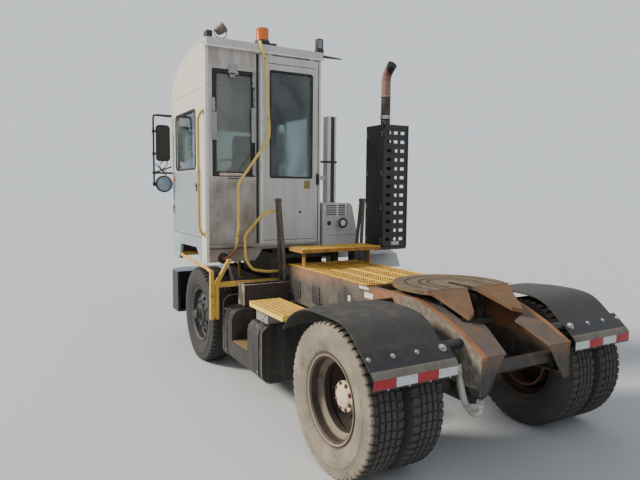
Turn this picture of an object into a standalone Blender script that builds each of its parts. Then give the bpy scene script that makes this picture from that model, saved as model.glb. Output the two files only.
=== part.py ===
"""Terminal tractor: a 4x2 yard tractor with an offset tilting cab and a lifting fifth wheel.

Metres, +Z up. Everything is drawn in a vehicle frame: X forward from the rear axle, Y to the
left, Z up from the ground. One empty carries that frame to the model's origin, which is on the
ground in the middle of the vehicle's length and of its width over the left mirror.

Chassis heights are set from the axle line, so a larger tyre lifts the whole chassis. The cab is
set from its own corner, which is the top of the floor at the rear wall.
"""
import math

import bmesh
import bpy
from mathutils import Matrix, Vector

# Fits
GAP = 0.0003            # between pieces that touch
RUN = 0.006             # between pieces that move past each other
PIN_FIT = 0.0009        # between a pin and its bore, in radius
SINK = 0.004            # how far a welded piece reaches into its neighbour

# Vehicle
ORIGIN_AHEAD = 1.880    # model origin ahead of the rear axle
ORIGIN_LEFT = 0.110     # model origin left of the frame's centre line, because of the left mirror
WHEELBASE = 2.946
TYRE_R = 0.525
AXLE_Z = TYRE_R
FRONT_X = WHEELBASE

# Wheels
TYRE_HALF = 0.139
BEAD_HALF = 0.100
BORE_R = 0.286
WHEEL_SIDES = 24
REAR_OUTER_Y = 1.081    # middle of the outer rear tyre
DUAL_PITCH = 0.320      # between the middles of twin tyres
FRONT_Y = 1.055         # middle of a front tyre
RIM_T = 0.014
RIM_LIP = 0.018
HUB_R = 0.115
DRUM_R = 0.200
AXLE_END_R = 0.075
SPINDLE_R = 0.045
HAND_HOLES = 8
HAND_HOLE_R = 0.030
HAND_RING_R = 0.198

# Front axle and steering
KINGPIN_Y = 0.850
EYE_END_R = 0.050       # end of the axle beam and ears of the knuckle
EYE_HALF_H = 0.062
EAR_T = 0.045
STEER_ARM = 0.210
TIE_ROD_R = 0.020
BEAM_DROP = 0.095
BEAM_H = 0.100
BEAM_W = 0.100
SPRING_HALF = 0.620     # axle to a spring eye
SPRING_W = 0.076
SPRING_T = 0.040
SPRING_EYE_R = 0.030
SPRING_EYE_UP = 0.105   # spring eye above the axle line

# Frame
FRAME_OUT = 0.430       # outer face of a side plate
PLATE = 0.012
FLANGE = 0.090
FRAME_TOP = AXLE_Z + 0.597
FRAME_LOW = AXLE_Z + 0.235
TAIL_LOW = AXLE_Z + 0.115
FRONT_TOP = AXLE_Z + 0.375
FRONT_LOW = AXLE_Z + 0.155
STEP_X0 = FRONT_X - 0.646    # where the frame starts to step down, ahead of the deck
STEP_X1 = FRONT_X - 0.426
FRAME_FRONT_X = FRONT_X + 1.074
RAMP_TOP = FRAME_TOP + 0.012
RAMP_IN = 0.300
RAMP_TAIL_IN, RAMP_HORN_IN = 0.215, 0.150    # inner edge at the tail and behind the horns
RAMP_HORN_X = -0.365
RAMP_END_X = -0.626
RAMP_END_Z = AXLE_Z + 0.345
MEMBER_R = 0.045        # round cross members
PINION_X = 0.440        # front end of the rear axle's nose

# Fifth wheel and boom
BOOM_X, BOOM_Z = 0.900, AXLE_Z + 0.355
BOOM_PIN_R = 0.034
FIFTH_X, FIFTH_Z = 0.120, AXLE_Z + 0.560
PLATE_X = 0.150         # middle of the round part of the top plate
PLATE_R = 0.455
PLATE_TOP = AXLE_Z + 0.682
PLATE_T = 0.030
THROAT_R = 0.032
HORN_X, HORN_Y = -0.335, 0.272       # outer corner of a horn's tip
HORN_IN_X, HORN_IN_Y = -0.300, 0.190 # inner corner of a horn's tip
HORN_KNEE_X = -0.070                 # from here the horns droop
HORN_DROP = 0.145
BOOM_ARM_Y = 0.245
BOOM_ARM_T = 0.030
LIFT_BASE_X, LIFT_BASE_Z = 0.550, AXLE_Z + 0.115
LIFT_EYE_X, LIFT_EYE_Z = 0.020, AXLE_Z + 0.445
LIFT_Y = 0.165
BARREL_R = 0.042
BARREL_END = 0.400      # far end of a barrel, from its base pin
ROD_R = 0.024
PIN_R = 0.020
EYE_R = 0.030
EYE_HALF_W = 0.026

# Deck and side pieces
DECK_FRONT_X = STEP_X0 - 0.100
DECK_REAR_X = 0.700
DECK_HALF = FRAME_OUT - 0.010
DECK_T = 0.012
DECK_SLATS = 14
CATWALK_X = STEP_X0 - 0.540
CATWALK_W = 0.300
CATWALK_T = 0.035
CATWALK_Z = FRAME_TOP + 0.208
POST_X = STEP_X0 - 0.080
POST_OUT = 0.050        # a post's middle outside the frame
POST_LEAN = 0.050
POST_TOP = FRAME_TOP + 0.690
TANK_FRONT_X = FRONT_X - TYRE_R - 0.121
TANK_L = 1.000
TANK_IN, TANK_OUT = 0.560, 1.120
TANK_LOW, TANK_TOP = AXLE_Z - 0.320, AXLE_Z + 0.205
TANK_ROUND = 0.100
STRAP_W, STRAP_T = 0.045, 0.006
WELL_X0, WELL_X1 = TANK_FRONT_X - 0.670, TANK_FRONT_X - 0.260
WELL_Z = AXLE_Z - 0.105
WELL_IN = 0.800
FUEL_L = 1.000
PLANK_T = 0.050
PLANK_TOP = AXLE_Z + 0.380
SHEET_IN = 0.590         # inner edge of a mudguard sheet
PLANK_Y0, PLANK_Y1 = 0.800, 1.110
BATTERY_X0, BATTERY_X1 = TANK_FRONT_X - 0.170, TANK_FRONT_X - 0.005
BATTERY_OUT = 0.950
GUARD_Y0, GUARD_Y1 = -1.100, -0.750
GUARD_LOW, GUARD_TOP = AXLE_Z + 0.745, AXLE_Z + 2.155
SHEET = 0.012
SILENCER_R = 0.120
STACK_R = 0.056

# Cab, set from its corner at CAB_X and FLOOR_Z
CAB_X = FRONT_X - 0.446      # rear face of the rear wall
FLOOR_Z = AXLE_Z + 0.807     # top of the floor
CAB_LEFT = 1.220
CAB_RIGHT = -0.130
WALL = 0.040
FLOOR_T = 0.034
CORNER_X = CAB_X + 1.300     # from here the sides turn in towards the nose
CORNER_L = 0.440
CORNER_IN = 0.110
SKIRT_Z = FLOOR_Z - 0.177
RIGHT_SKIRT_Z = FLOOR_Z - 0.055
SKIRT_STEP_Y = 0.632         # where the rear wall's skirt steps up
ROOF_LINE = (  # x ahead of the rear wall, height above the floor: a smooth curve runs through them
    (-0.052, 2.124), (0.385, 2.138), (0.852, 2.053), (1.275, 1.853), (1.510, 1.578))
NOSE_LINE = (  # the same, joined by straight lines below the roof
    (1.560, 1.448), (1.610, 1.073), (1.740, 0.318), (1.680, -0.082), (1.590, -0.274))
EAVE_Z = FLOOR_Z + 2.042     # lower edge of the roof's rear lip
FLOOR_FRONT_X = CAB_X + 1.635
TILT_X, TILT_Z = CAB_X + 1.490, FLOOR_Z - 0.352
HINGE_Y = (0.300, 0.000)
EAR_GAP = 0.022              # half the space between a pair of hinge ears
HINGE_ARM = 0.015            # half thickness of a cab arm
REST_X = CAB_X + 0.060
REST_Y = (0.380, -0.040)

# Openings in the cab, as x or y low and high, then height above the floor low and high
REAR_DOOR = (CAB_RIGHT + 0.022, 0.630, 0.008, 2.018)
REAR_DOOR_GLASS = (CAB_RIGHT + 0.137, 0.510, 0.733, 1.858)
REAR_OPENING = (CAB_RIGHT + 0.080, 0.560, 0.018, 1.968)
REAR_WINDOW = (CAB_LEFT - 0.550, CAB_LEFT - 0.070, 0.728, 1.833)
SIDE_DOOR = (CAB_X + 0.165, CAB_X + 1.235, 0.078, 1.643)
SIDE_WINDOW = (CAB_X + 0.350, CAB_X + 1.130, 0.818, 1.448)
RIGHT_WINDOW = (CAB_X + 0.250, CAB_X + 1.130, 0.618, 1.448)
WINDSCREEN = (CAB_RIGHT + 0.140, CAB_LEFT - 0.140, 0.388, 1.368)
REAR_DOOR_T = 0.035
REAR_DOOR_GAP = 0.009
DOOR_CLEAR = 0.006
GLASS_T = 0.006
HINGE_R = 0.010
HINGE_OUT = 0.012            # side door hinge line outside the wall
ARCH = ((0.200, -0.177), (0.360, -0.042), (0.990, -0.052), (1.045, -0.242))  # as ROOF_LINE

# Engine cowl beside the cab
COWL_X0, COWL_X1 = CAB_X - 0.050, CAB_X + 1.550
COWL_LEFT = CAB_RIGHT - 0.012
COWL_W, COWL_FLARE = 0.372, 0.127
COWL_LOW, COWL_STEP, COWL_TOP = AXLE_Z + 0.685, AXLE_Z + 0.784, AXLE_Z + 1.250
COWL_T = 0.020
SEAT_X, SEAT_Y = CAB_X + 0.720, 0.540

MATERIALS = {  # colour, roughness, metallic
    "cab_white": ((0.72, 0.71, 0.66), 0.45, 0.0),
    "glass": ((0.10, 0.13, 0.14), 0.08, 0.0),
    "chassis": ((0.09, 0.08, 0.07), 0.75, 0.3),
    "rust": ((0.30, 0.14, 0.07), 0.85, 0.4),
    "yellow": ((0.72, 0.45, 0.07), 0.6, 0.0),
    "black": ((0.025, 0.026, 0.03), 0.5, 0.1),
    "rubber": ((0.03, 0.03, 0.03), 0.85, 0.0),
    "tyre": ((0.06, 0.06, 0.06), 0.9, 0.0),
    "rim": ((0.45, 0.42, 0.36), 0.6, 0.3),
    "steel": ((0.45, 0.42, 0.40), 0.4, 0.9),
    "amber": ((0.90, 0.22, 0.02), 0.25, 0.0),
    "seat": ((0.04, 0.04, 0.045), 0.9, 0.0),
}


# Mesh tools

def mesh_object(verts, faces):
    mesh = bpy.data.meshes.new("piece")
    mesh.from_pydata([tuple(v) for v in verts], [], faces)
    work = bmesh.new()
    work.from_mesh(mesh)
    bmesh.ops.recalc_face_normals(work, faces=work.faces)
    work.to_mesh(mesh)
    work.free()
    piece = bpy.data.objects.new("piece", mesh)
    bpy.context.scene.collection.objects.link(piece)
    return piece


def prism(outline, axis, low, high):
    """Extrude a closed outline along axis. Its pairs are the other two coordinates in XYZ order."""
    place = {"X": lambda a, b, c: (c, a, b),
             "Y": lambda a, b, c: (a, c, b),
             "Z": lambda a, b, c: (a, b, c)}[axis]
    count = len(outline)
    low, high = sorted((low, high))
    verts = [place(a, b, low) for a, b in outline] + [place(a, b, high) for a, b in outline]
    faces = [tuple(range(count)), tuple(range(count, 2 * count))]
    for i in range(count):
        j = (i + 1) % count
        faces.append((i, j, count + j, count + i))
    return mesh_object(verts, faces)


def rect(a0, a1, b0, b1):
    return [(a0, b0), (a1, b0), (a1, b1), (a0, b1)]


def box(x0, x1, y0, y1, z0, z1):
    return prism(rect(x0, x1, y0, y1), "Z", z0, z1)


def box_at(x, y, z, length, width, height):
    """A box by its middle and its sizes."""
    return box(x - length / 2, x + length / 2, y - width / 2, y + width / 2, z - height / 2, z + height / 2)


def turned(section, centre, side=1):
    """Turn a closed section of (radius, offset) pairs about a line along Y through centre."""
    return revolve(section, centre, side, True)


def revolve(section, centre, side, closed):
    """Turn a section about a line along Y. An open one starts and ends on that line."""
    x, y, z = centre
    rings = section if closed else section[1:-1]
    count = len(rings)
    verts = []
    for k in range(WHEEL_SIDES):
        angle = 2 * math.pi * (k + 0.5) / WHEEL_SIDES
        for radius, offset in rings:
            verts.append((x + radius * math.cos(angle), y + side * offset, z + radius * math.sin(angle)))
    faces = []
    for k in range(WHEEL_SIDES):
        n = (k + 1) % WHEEL_SIDES
        for i in range(count if closed else count - 1):
            j = (i + 1) % count
            faces.append((k * count + i, k * count + j, n * count + j, n * count + i))
    if not closed:
        faces.append(tuple(k * count for k in range(WHEEL_SIDES)))
        faces.append(tuple(k * count + count - 1 for k in range(WHEEL_SIDES)))
    return mesh_object(verts, faces)


def rod(start, end, radius, sides=12):
    """A round bar between two points."""
    return tube([start, end], radius, sides)


def rod_y(x, z, y0, y1, radius, sides=12):
    """A round bar along Y."""
    y0, y1 = sorted((y0, y1))
    return tube([(x, y0, z), (x, y1, z)], radius, sides)


def flat_r(radius, sides=12):
    """Distance from the middle of a many-sided bar to the middle of a side."""
    return radius * math.cos(math.pi / sides)


def tube(points, radius, sides=8, bend=0.0):
    """A round bar along a path, its corners rounded to the bend radius."""
    path = rounded(points, bend) if bend else [Vector(p) for p in points]
    rings = []
    normal = None
    for i, point in enumerate(path):
        before = (point - path[i - 1]).normalized() if i else (path[1] - point).normalized()
        after = (path[i + 1] - point).normalized() if i + 1 < len(path) else before
        along = (before + after).normalized()
        if normal is None:
            helper = Vector((0, 0, 1)) if abs(along.z) < 0.9 else Vector((1, 0, 0))
            normal = along.cross(helper).normalized()
        normal = (normal - along * normal.dot(along)).normalized()
        rings.append((point, normal.copy(), along.cross(normal).normalized(), along.dot(after),
                      after - before))
    verts = []
    for point, u, v, lean, fold in rings:
        stretch = 1 / max(0.3, lean) - 1
        fold = fold.normalized() if fold.length > 1e-6 else Vector()
        for k in range(sides):
            angle = 2 * math.pi * (k + 0.5) / sides
            spoke = radius * (math.cos(angle) * u + math.sin(angle) * v)
            verts.append(point + spoke + fold * spoke.dot(fold) * stretch)
    last = (len(path) - 1) * sides
    faces = [tuple(range(sides)), tuple(range(last, last + sides))]
    for i in range(len(path) - 1):
        for k in range(sides):
            n = (k + 1) % sides
            faces.append((i * sides + k, i * sides + n, (i + 1) * sides + n, (i + 1) * sides + k))
    return mesh_object(verts, faces)


def rounded(points, bend, steps=2):
    """The path with each inner corner replaced by a short arc."""
    points = [Vector(p) for p in points]
    path = [points[0]]
    for before, corner, after in zip(points, points[1:], points[2:]):
        back = before - corner
        ahead = after - corner
        reach = min(bend, 0.45 * back.length, 0.45 * ahead.length)
        start = corner + back.normalized() * reach
        end = corner + ahead.normalized() * reach
        for k in range(steps + 1):
            t = k / steps
            path.append(start * (1 - t) ** 2 + corner * 2 * t * (1 - t) + end * t ** 2)
    path.append(points[-1])
    return path


def rounded_rect(a0, a1, b0, b1, radius, steps=3):
    """Corner points of a rectangle whose corners are arcs."""
    outline = []
    for a, b, turn in ((a1 - radius, b1 - radius, 0), (a0 + radius, b1 - radius, 1),
                       (a0 + radius, b0 + radius, 2), (a1 - radius, b0 + radius, 3)):
        for k in range(steps + 1):
            angle = math.pi / 2 * (turn + k / steps)
            outline.append((a + radius * math.cos(angle), b + radius * math.sin(angle)))
    return outline


def smooth(points, steps=2):
    """Points along a smooth curve through the given ones."""
    ends = [points[0]] + list(points) + [points[-1]]
    path = []
    for p, q, r, s in zip(ends, ends[1:], ends[2:], ends[3:]):
        for k in range(steps):
            t = k / steps
            path.append(tuple(0.5 * (2 * b + (c - a) * t + (2 * a - 5 * b + 4 * c - d) * t ** 2
                                     + (3 * b - a - 3 * c + d) * t ** 3) for a, b, c, d in zip(p, q, r, s)))
    return path + [tuple(points[-1])]


def boolean(base, tools, operation):
    for tool in tools:
        modifier = base.modifiers.new("cut", "BOOLEAN")
        modifier.operation = operation
        modifier.solver = "EXACT"
        modifier.object = tool
    graph = bpy.context.evaluated_depsgraph_get()
    graph.update()
    mesh = bpy.data.meshes.new_from_object(base.evaluated_get(graph))
    base.modifiers.clear()
    base.data = mesh
    for tool in tools:
        bpy.data.objects.remove(tool)
    return base


def fuse(base, *tools):
    return boolean(base, tools, "UNION")


def cut(base, *tools):
    return boolean(base, tools, "DIFFERENCE")


def keep(base, *tools):
    return boolean(base, tools, "INTERSECT")


def offset_path(path, distance):
    """A path moved sideways by distance, to the right of its direction, with mitred corners."""
    moved = []
    for i, (x, z) in enumerate(path):
        before = Vector((x - path[i - 1][0], z - path[i - 1][1])).normalized() if i else None
        after = Vector((path[i + 1][0] - x, path[i + 1][1] - z)).normalized() if i + 1 < len(path) else None
        before = before or after
        after = after or before
        along = (before + after).normalized()
        scale = distance / max(0.3, along.dot(after))
        moved.append((x + along.y * scale, z - along.x * scale))
    return moved


def strip(path, thickness):
    """Closed outline of a plate of even thickness below a path that runs forward."""
    return list(path) + offset_path(path, thickness)[::-1]


def span(side, inner, outer):
    """Low and high Y of something between two distances out from the middle, on one side."""
    return sorted((side * inner, side * outer))


def height_at(path, x):
    """Height of a side-view path at x."""
    for (x0, z0), (x1, z1) in zip(path, path[1:]):
        if x0 <= x <= x1:
            return z0 + (z1 - z0) * (x - x0) / (x1 - x0)
    return path[-1][1]


def round_wheel(table, axle_x):
    """Side-view points from a table of angle in degrees and clearance outside the tyre."""
    return [(axle_x + (TYRE_R + clear) * math.cos(math.radians(angle)),
             AXLE_Z + (TYRE_R + clear) * math.sin(math.radians(angle))) for angle, clear in table]


# Placing

def clear_scene():
    for thing in list(bpy.data.objects):
        bpy.data.objects.remove(thing)


def empty(name, pivot, parent=None):
    """An empty on a body's joint, in the vehicle frame."""
    frame = bpy.data.objects.new(name, None)
    bpy.context.scene.collection.objects.link(frame)
    frame["pivot"] = pivot
    frame.parent = parent
    frame.location = Vector(pivot) - Vector(parent["pivot"]) if parent else Vector(pivot)
    return frame


def material(name):
    if name in bpy.data.materials:
        return bpy.data.materials[name]
    colour, roughness, metallic = MATERIALS[name]
    made = bpy.data.materials.new(name)
    made.use_nodes = True
    shader = made.node_tree.nodes["Principled BSDF"]
    shader.inputs["Base Color"].default_value = (*colour, 1)
    shader.inputs["Roughness"].default_value = roughness
    shader.inputs["Metallic"].default_value = metallic
    return made


def node(name, piece, finish, body):
    """Name a piece, give it its material and hang it on its body's empty."""
    piece.name = name
    piece.data.name = name
    piece.data.transform(Matrix.Translation(-Vector(body["pivot"])))
    piece.data.materials.clear()
    piece.data.materials.append(material(finish))
    piece.parent = body
    piece.data.shade_smooth()
    piece.data.set_sharp_from_angle(angle=math.radians(35))
    return piece


# Wheels

def tyre_section():
    """Closed section as (radius, offset from the tyre's middle)."""
    half = ((BORE_R, BEAD_HALF), (BORE_R + RIM_LIP + 0.003, BEAD_HALF), (BORE_R + 0.120, TYRE_HALF),
            (TYRE_R - 0.038, TYRE_HALF - 0.014), (TYRE_R, TYRE_HALF - 0.052))
    return [(r, -s) for r, s in half] + list(half[::-1])


def rim_well(middle, wall):
    """Outer side of a rim from its inboard lip to its outboard lip, about a tyre's middle."""
    seat, lip = BORE_R - GAP, BORE_R + RIM_LIP
    bead = BEAD_HALF + GAP
    edge = bead + 0.012
    return [(wall, middle - edge), (lip, middle - edge), (lip, middle - bead), (seat, middle - bead),
            (seat, middle + bead), (lip, middle + bead), (lip, middle + edge), (wall, middle + edge)]


def hand_holes(centre, side, low, high):
    """Cutters for the ring of hand holes through a wheel disc."""
    x, y, z = centre
    tools = []
    for k in range(HAND_HOLES):
        angle = 2 * math.pi * (k + 0.5) / HAND_HOLES
        hole_x, hole_z = x + HAND_RING_R * math.cos(angle), z + HAND_RING_R * math.sin(angle)
        tools.append(rod_y(hole_x, hole_z, y + side * low, y + side * high, HAND_HOLE_R, 6))
    return tools


def front_rim(side):
    """Rim, domed disc and hub of one front wheel. The hub's back is open for the spindle."""
    wall = BORE_R - RIM_T
    bore = SPINDLE_R + PIN_FIT
    depth = 0.120
    section = [(0, depth + 0.030), (0.070, depth + 0.030), (HUB_R, depth - 0.008), (HUB_R + 0.035, 0.074),
               (wall, 0.052)]
    section += rim_well(0, wall)[::-1]
    section += [(wall, 0.034), (HUB_R + 0.030, 0.054), (HUB_R - 0.010, -0.060), (bore, -0.060),
                (bore, depth), (0, depth)]
    centre = (FRONT_X, side * FRONT_Y, AXLE_Z)
    return cut(revolve(section, centre, side, False), *hand_holes(centre, side, 0.020, 0.090))


def rear_rims(side):
    """Twin rims bolted disc to disc, with the hub in the outer dish and the drum in the inner one."""
    out = DUAL_PITCH / 2
    wall = BORE_R - RIM_T
    bore = AXLE_END_R + PIN_FIT
    outer, inner = rim_well(out, wall), rim_well(-out, wall)
    section = [(0, 0.165), (0.070, 0.165), (HUB_R, 0.146), (HUB_R, 0.022), (wall, 0.030)]
    section += outer[::-1][:-1] + [(wall + 0.006, out - BEAD_HALF),
                                   (wall + 0.006, BEAD_HALF - out)] + inner[::-1][1:]
    section += [(wall, -0.030), (DRUM_R, -0.034), (DRUM_R, -0.235), (bore, -0.235), (bore, 0.120), (0, 0.120)]
    centre = (0, side * (REAR_OUTER_Y - out), AXLE_Z)
    return cut(revolve(section, centre, side, False), *hand_holes(centre, side, -0.020, 0.060))


def make_wheels(bodies):
    for word, side in (("left", 1), ("right", -1)):
        front = bodies["wheel_front_" + word]
        centre = (FRONT_X, side * FRONT_Y, AXLE_Z)
        node("tyre_front_" + word, turned(tyre_section(), centre, side), "tyre", front)
        node("rim_front_" + word, front_rim(side), "rim", front)
        rear = bodies["wheels_rear_" + word]
        for row, y in (("outer", REAR_OUTER_Y), ("inner", REAR_OUTER_Y - DUAL_PITCH)):
            tyre = turned(tyre_section(), (0, side * y, AXLE_Z), side)
            node("tyre_rear_" + word + "_" + row, tyre, "tyre", rear)
        node("rims_rear_" + word, rear_rims(side), "rim", rear)


# Axles and steering

def front_axle():
    """Dropped beam with two leaf springs clamped on top, their eyes under the frame's hangers."""
    beam_z = AXLE_Z - BEAM_DROP
    seat = beam_z + BEAM_H / 2
    half = KINGPIN_Y - EYE_END_R + 0.005
    dropped = [(-half, AXLE_Z + 0.050), (-half, AXLE_Z - 0.050), (-0.620, seat - BEAM_H),
               (0.620, seat - BEAM_H),
               (half, AXLE_Z - 0.050), (half, AXLE_Z + 0.050), (0.600, seat), (-0.600, seat)]
    beam = prism(dropped, "X", FRONT_X - BEAM_W / 2, FRONT_X + BEAM_W / 2)
    eye_z = AXLE_Z + SPRING_EYE_UP
    leaf = [(FRONT_X - SPRING_HALF, eye_z + 0.010), (FRONT_X - 0.350, seat + 0.075), (FRONT_X, seat + 0.050),
            (FRONT_X + 0.350, seat + 0.075), (FRONT_X + SPRING_HALF, eye_z + 0.010)]
    pieces = []
    for side in (1, -1):
        y = side * KINGPIN_Y
        pieces.append(rod((FRONT_X, y, AXLE_Z - EYE_HALF_H + GAP), (FRONT_X, y, AXLE_Z + EYE_HALF_H - RUN),
                          EYE_END_R))
        spring_y = side * (FRAME_OUT - FLANGE / 2)
        low, high = spring_y - SPRING_W / 2, spring_y + SPRING_W / 2
        pieces.append(prism(strip(leaf, SPRING_T), "Y", low, high))
        pieces.append(box(FRONT_X - 0.090, FRONT_X + 0.090, low - 0.006, high + 0.006, seat - SINK,
                          seat + 0.070))
        for x in (FRONT_X - SPRING_HALF, FRONT_X + SPRING_HALF):
            pieces.append(rod_y(x, eye_z, low, high, SPRING_EYE_R))
    return fuse(beam, *pieces)


def knuckle(side):
    """Forked knuckle with its spindle and a steering arm that points back."""
    y = side * KINGPIN_Y
    top, low = AXLE_Z + EYE_HALF_H, AXLE_Z - EYE_HALF_H
    wide = 0.040
    ears = [rod((FRONT_X, y, z), (FRONT_X, y, z + EAR_T), EYE_END_R) for z in (top, low - EAR_T)]
    y0, y1 = span(side, KINGPIN_Y, KINGPIN_Y + 0.070)
    ears += [box(FRONT_X - wide, FRONT_X + wide, y0, y1, z, z + EAR_T) for z in (top, low - EAR_T)]
    y0, y1 = span(side, KINGPIN_Y + EYE_END_R + 0.008, KINGPIN_Y + 0.095)
    web = box(FRONT_X - wide, FRONT_X + wide, y0, y1, low - EAR_T, top + EAR_T)
    spindle = rod_y(FRONT_X, AXLE_Z, side * (KINGPIN_Y + 0.080), side * (FRONT_Y + 0.118), SPINDLE_R, 16)
    arm = box(FRONT_X - STEER_ARM - 0.025, FRONT_X + 0.010, y - 0.020, y + 0.020, low - EAR_T,
              low - EAR_T + 0.030)
    return fuse(web, spindle, arm, *ears)


def tie_rod():
    """Rod under the two steering arms, with a ball stud end at each."""
    x = FRONT_X - STEER_ARM
    top = AXLE_Z - EYE_HALF_H - EAR_T - GAP
    z = top - 0.033
    bar = rod_y(x, z, -KINGPIN_Y, KINGPIN_Y, TIE_ROD_R, 10)
    ends = [rod((x, side * KINGPIN_Y, z - 0.025), (x, side * KINGPIN_Y, top), TIE_ROD_R + 0.006,
                10) for side in (1, -1)]
    return fuse(bar, *ends)


def rear_axle():
    """Banjo housing with its tubes and pinion nose, bolted under the frame."""
    hub_y = REAR_OUTER_Y - DUAL_PITCH / 2
    bowl = rod((-0.150, 0, AXLE_Z), (0.150, 0, AXLE_Z), 0.200, 18)
    shell = rod((-0.215, 0, AXLE_Z), (0.200, 0, AXLE_Z), 0.140, 12)
    nose = rod((0.100, 0, AXLE_Z + 0.020), (PINION_X, 0, AXLE_Z + 0.030), 0.085, 12)
    tubes = rod_y(0, AXLE_Z, -hub_y - 0.115, hub_y + 0.115, AXLE_END_R, 16)
    casing = prism([(-0.340, AXLE_Z - 0.090), (0.340, AXLE_Z - 0.090), (0.340, AXLE_Z + 0.090),
                    (0.220, AXLE_Z + 0.150), (-0.220, AXLE_Z + 0.150), (-0.340, AXLE_Z + 0.090)], "X",
                    -0.085, 0.085)
    seats = []
    for side in (1, -1):
        y0, y1 = span(side, FRAME_OUT - 0.085, FRAME_OUT - 0.005)
        seats.append(box(-0.120, 0.120, y0, y1, AXLE_Z + 0.060, TAIL_LOW - GAP))
    return fuse(bowl, shell, nose, tubes, casing, *seats)


# Frame

def frame_top_path():
    return [(RAMP_END_X, RAMP_END_Z), (-0.429, RAMP_END_Z + 0.103), (-0.226, RAMP_TOP - 0.079),
            (0.060, RAMP_TOP),
            (0.418, RAMP_TOP), (0.450, FRAME_TOP), (STEP_X0, FRAME_TOP), (STEP_X1, FRONT_TOP),
            (FRAME_FRONT_X, FRONT_TOP)]


def frame_low_path():
    return [(RAMP_END_X + 0.020, TAIL_LOW + 0.010), (-0.420, TAIL_LOW), (0.620, TAIL_LOW), (0.900, FRAME_LOW),
            (STEP_X0, FRAME_LOW), (STEP_X1, FRONT_LOW), (FRAME_FRONT_X, FRONT_LOW)]


def frame():
    """Two deep side plates with flanges, sloping pick-up ramps at the tail and round cross members."""
    top = frame_top_path()
    low = frame_low_path()
    raised = [(x, z + PLATE) for x, z in low]
    ramp_points = 5
    pieces = []
    for side in (1, -1):
        flange = span(side, FRAME_OUT - FLANGE, FRAME_OUT)
        pieces.append(prism(top + low[::-1], "Y", *span(side, FRAME_OUT - PLATE, FRAME_OUT)))
        pieces.append(prism(strip(top[:ramp_points], PLATE), "Y", *span(side, RAMP_IN, FRAME_OUT)))
        pieces.append(prism(strip(top[ramp_points - 1:], PLATE), "Y", *flange))
        pieces.append(prism(strip(raised, PLATE), "Y", *flange))
        plan = [(RAMP_END_X - 0.050, side * RAMP_TAIL_IN), (RAMP_END_X, side * RAMP_TAIL_IN),
                (RAMP_HORN_X, side * RAMP_HORN_IN), (RAMP_HORN_X + 0.060, side * (RAMP_IN + 0.010)),
                (RAMP_HORN_X + 0.060, side * (FRAME_OUT - 0.002)),
                (RAMP_END_X - 0.050, side * (FRAME_OUT - 0.002))]
        pieces.append(keep(prism(strip(top[:3], PLATE), "Y", *span(side, RAMP_HORN_IN - 0.050, FRAME_OUT)),
                           prism(plan, "Z", TAIL_LOW, FRAME_TOP + 0.100)))
        tail = [(side * RAMP_TAIL_IN, RAMP_END_Z - 0.001), (side * FRAME_OUT, RAMP_END_Z - 0.001),
                (side * FRAME_OUT, TAIL_LOW - 0.030), (side * (FRAME_OUT - 0.050), TAIL_LOW - 0.030)]
        pieces.append(prism(tail, "X", RAMP_END_X + 0.005, RAMP_END_X + 0.005 + PLATE))
    inside = FRAME_OUT - PLATE / 2
    members = (  # x, z, radius
        (FRAME_FRONT_X - 0.100, FRONT_LOW + 0.100, MEMBER_R), (STEP_X0 - 0.400, FRAME_TOP - 0.102, MEMBER_R),
        (BOOM_X + 0.400, BOOM_Z + 0.080, MEMBER_R),
        (LIFT_BASE_X + 0.085, LIFT_BASE_Z + 0.070, MEMBER_R - 0.005),
        (RAMP_END_X + 0.126, TAIL_LOW + 0.100, MEMBER_R), (BOOM_X, BOOM_Z, BOOM_PIN_R),
        (LIFT_BASE_X, LIFT_BASE_Z, PIN_R))
    bars = [rod_y(x, z, -inside, inside, radius, 12) for x, z, radius in members]
    extras = [tow_hook()] + posts() + spring_hangers() + battery_tray() + cab_mounts()
    return fuse(pieces[0], *pieces[1:], *bars, *extras)


def tow_hook():
    """Cast hook below the left ramp's end, welded to the outside of the side plate."""
    y = FRAME_OUT + 0.018
    x, z = RAMP_END_X, AXLE_Z
    path = [(x + 0.196, y, z + 0.255), (x + 0.166, y, z + 0.115), (x + 0.128, y, z + 0.010),
            (x + 0.050, y, z - 0.040), (x - 0.012, y, z), (x - 0.008, y, z + 0.075)]
    return tube(path, 0.023, 6, bend=0.04)


def posts():
    """Two slotted posts in front of the deck, each of two leaning bars with a rounded head."""
    made = []
    knee = FRAME_TOP + 0.010
    foot = FRAME_LOW + 0.060
    for side in (1, -1):
        y = side * (FRAME_OUT + POST_OUT)
        lean = side * POST_LEAN
        for x_foot, x_head in ((POST_X - 0.055, POST_X - 0.025), (POST_X + 0.055, POST_X + 0.025)):
            made.append(tube([(x_foot, y, foot), (x_foot, y, knee), (x_head, y + lean, POST_TOP)], 0.020, 6))
        made.append(box_at(POST_X, y, foot, 0.140, 0.044, 0.040))
        made.append(rod((POST_X - 0.040, y + lean, POST_TOP), (POST_X + 0.040, y + lean, POST_TOP), 0.026, 8))
        y0, y1 = span(side, FRAME_OUT - SINK, FRAME_OUT + POST_OUT)
        for z in (foot + 0.080, foot + 0.240):
            made.append(box(POST_X - 0.080, POST_X + 0.080, y0, y1, z - 0.040, z + 0.040))
    return made


def spring_hangers():
    """Hangers that drop from the frame to the front springs' eyes."""
    made = []
    low = AXLE_Z + SPRING_EYE_UP + flat_r(SPRING_EYE_R) + GAP
    for side in (1, -1):
        y = side * (FRAME_OUT - FLANGE / 2)
        for x in (FRONT_X - SPRING_HALF, FRONT_X + SPRING_HALF):
            top = height_at(frame_low_path(), x - 0.040) + SINK
            made.append(box(x - 0.040, x + 0.040, y - SPRING_W / 2, y + SPRING_W / 2, low, top))
    return made


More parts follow.
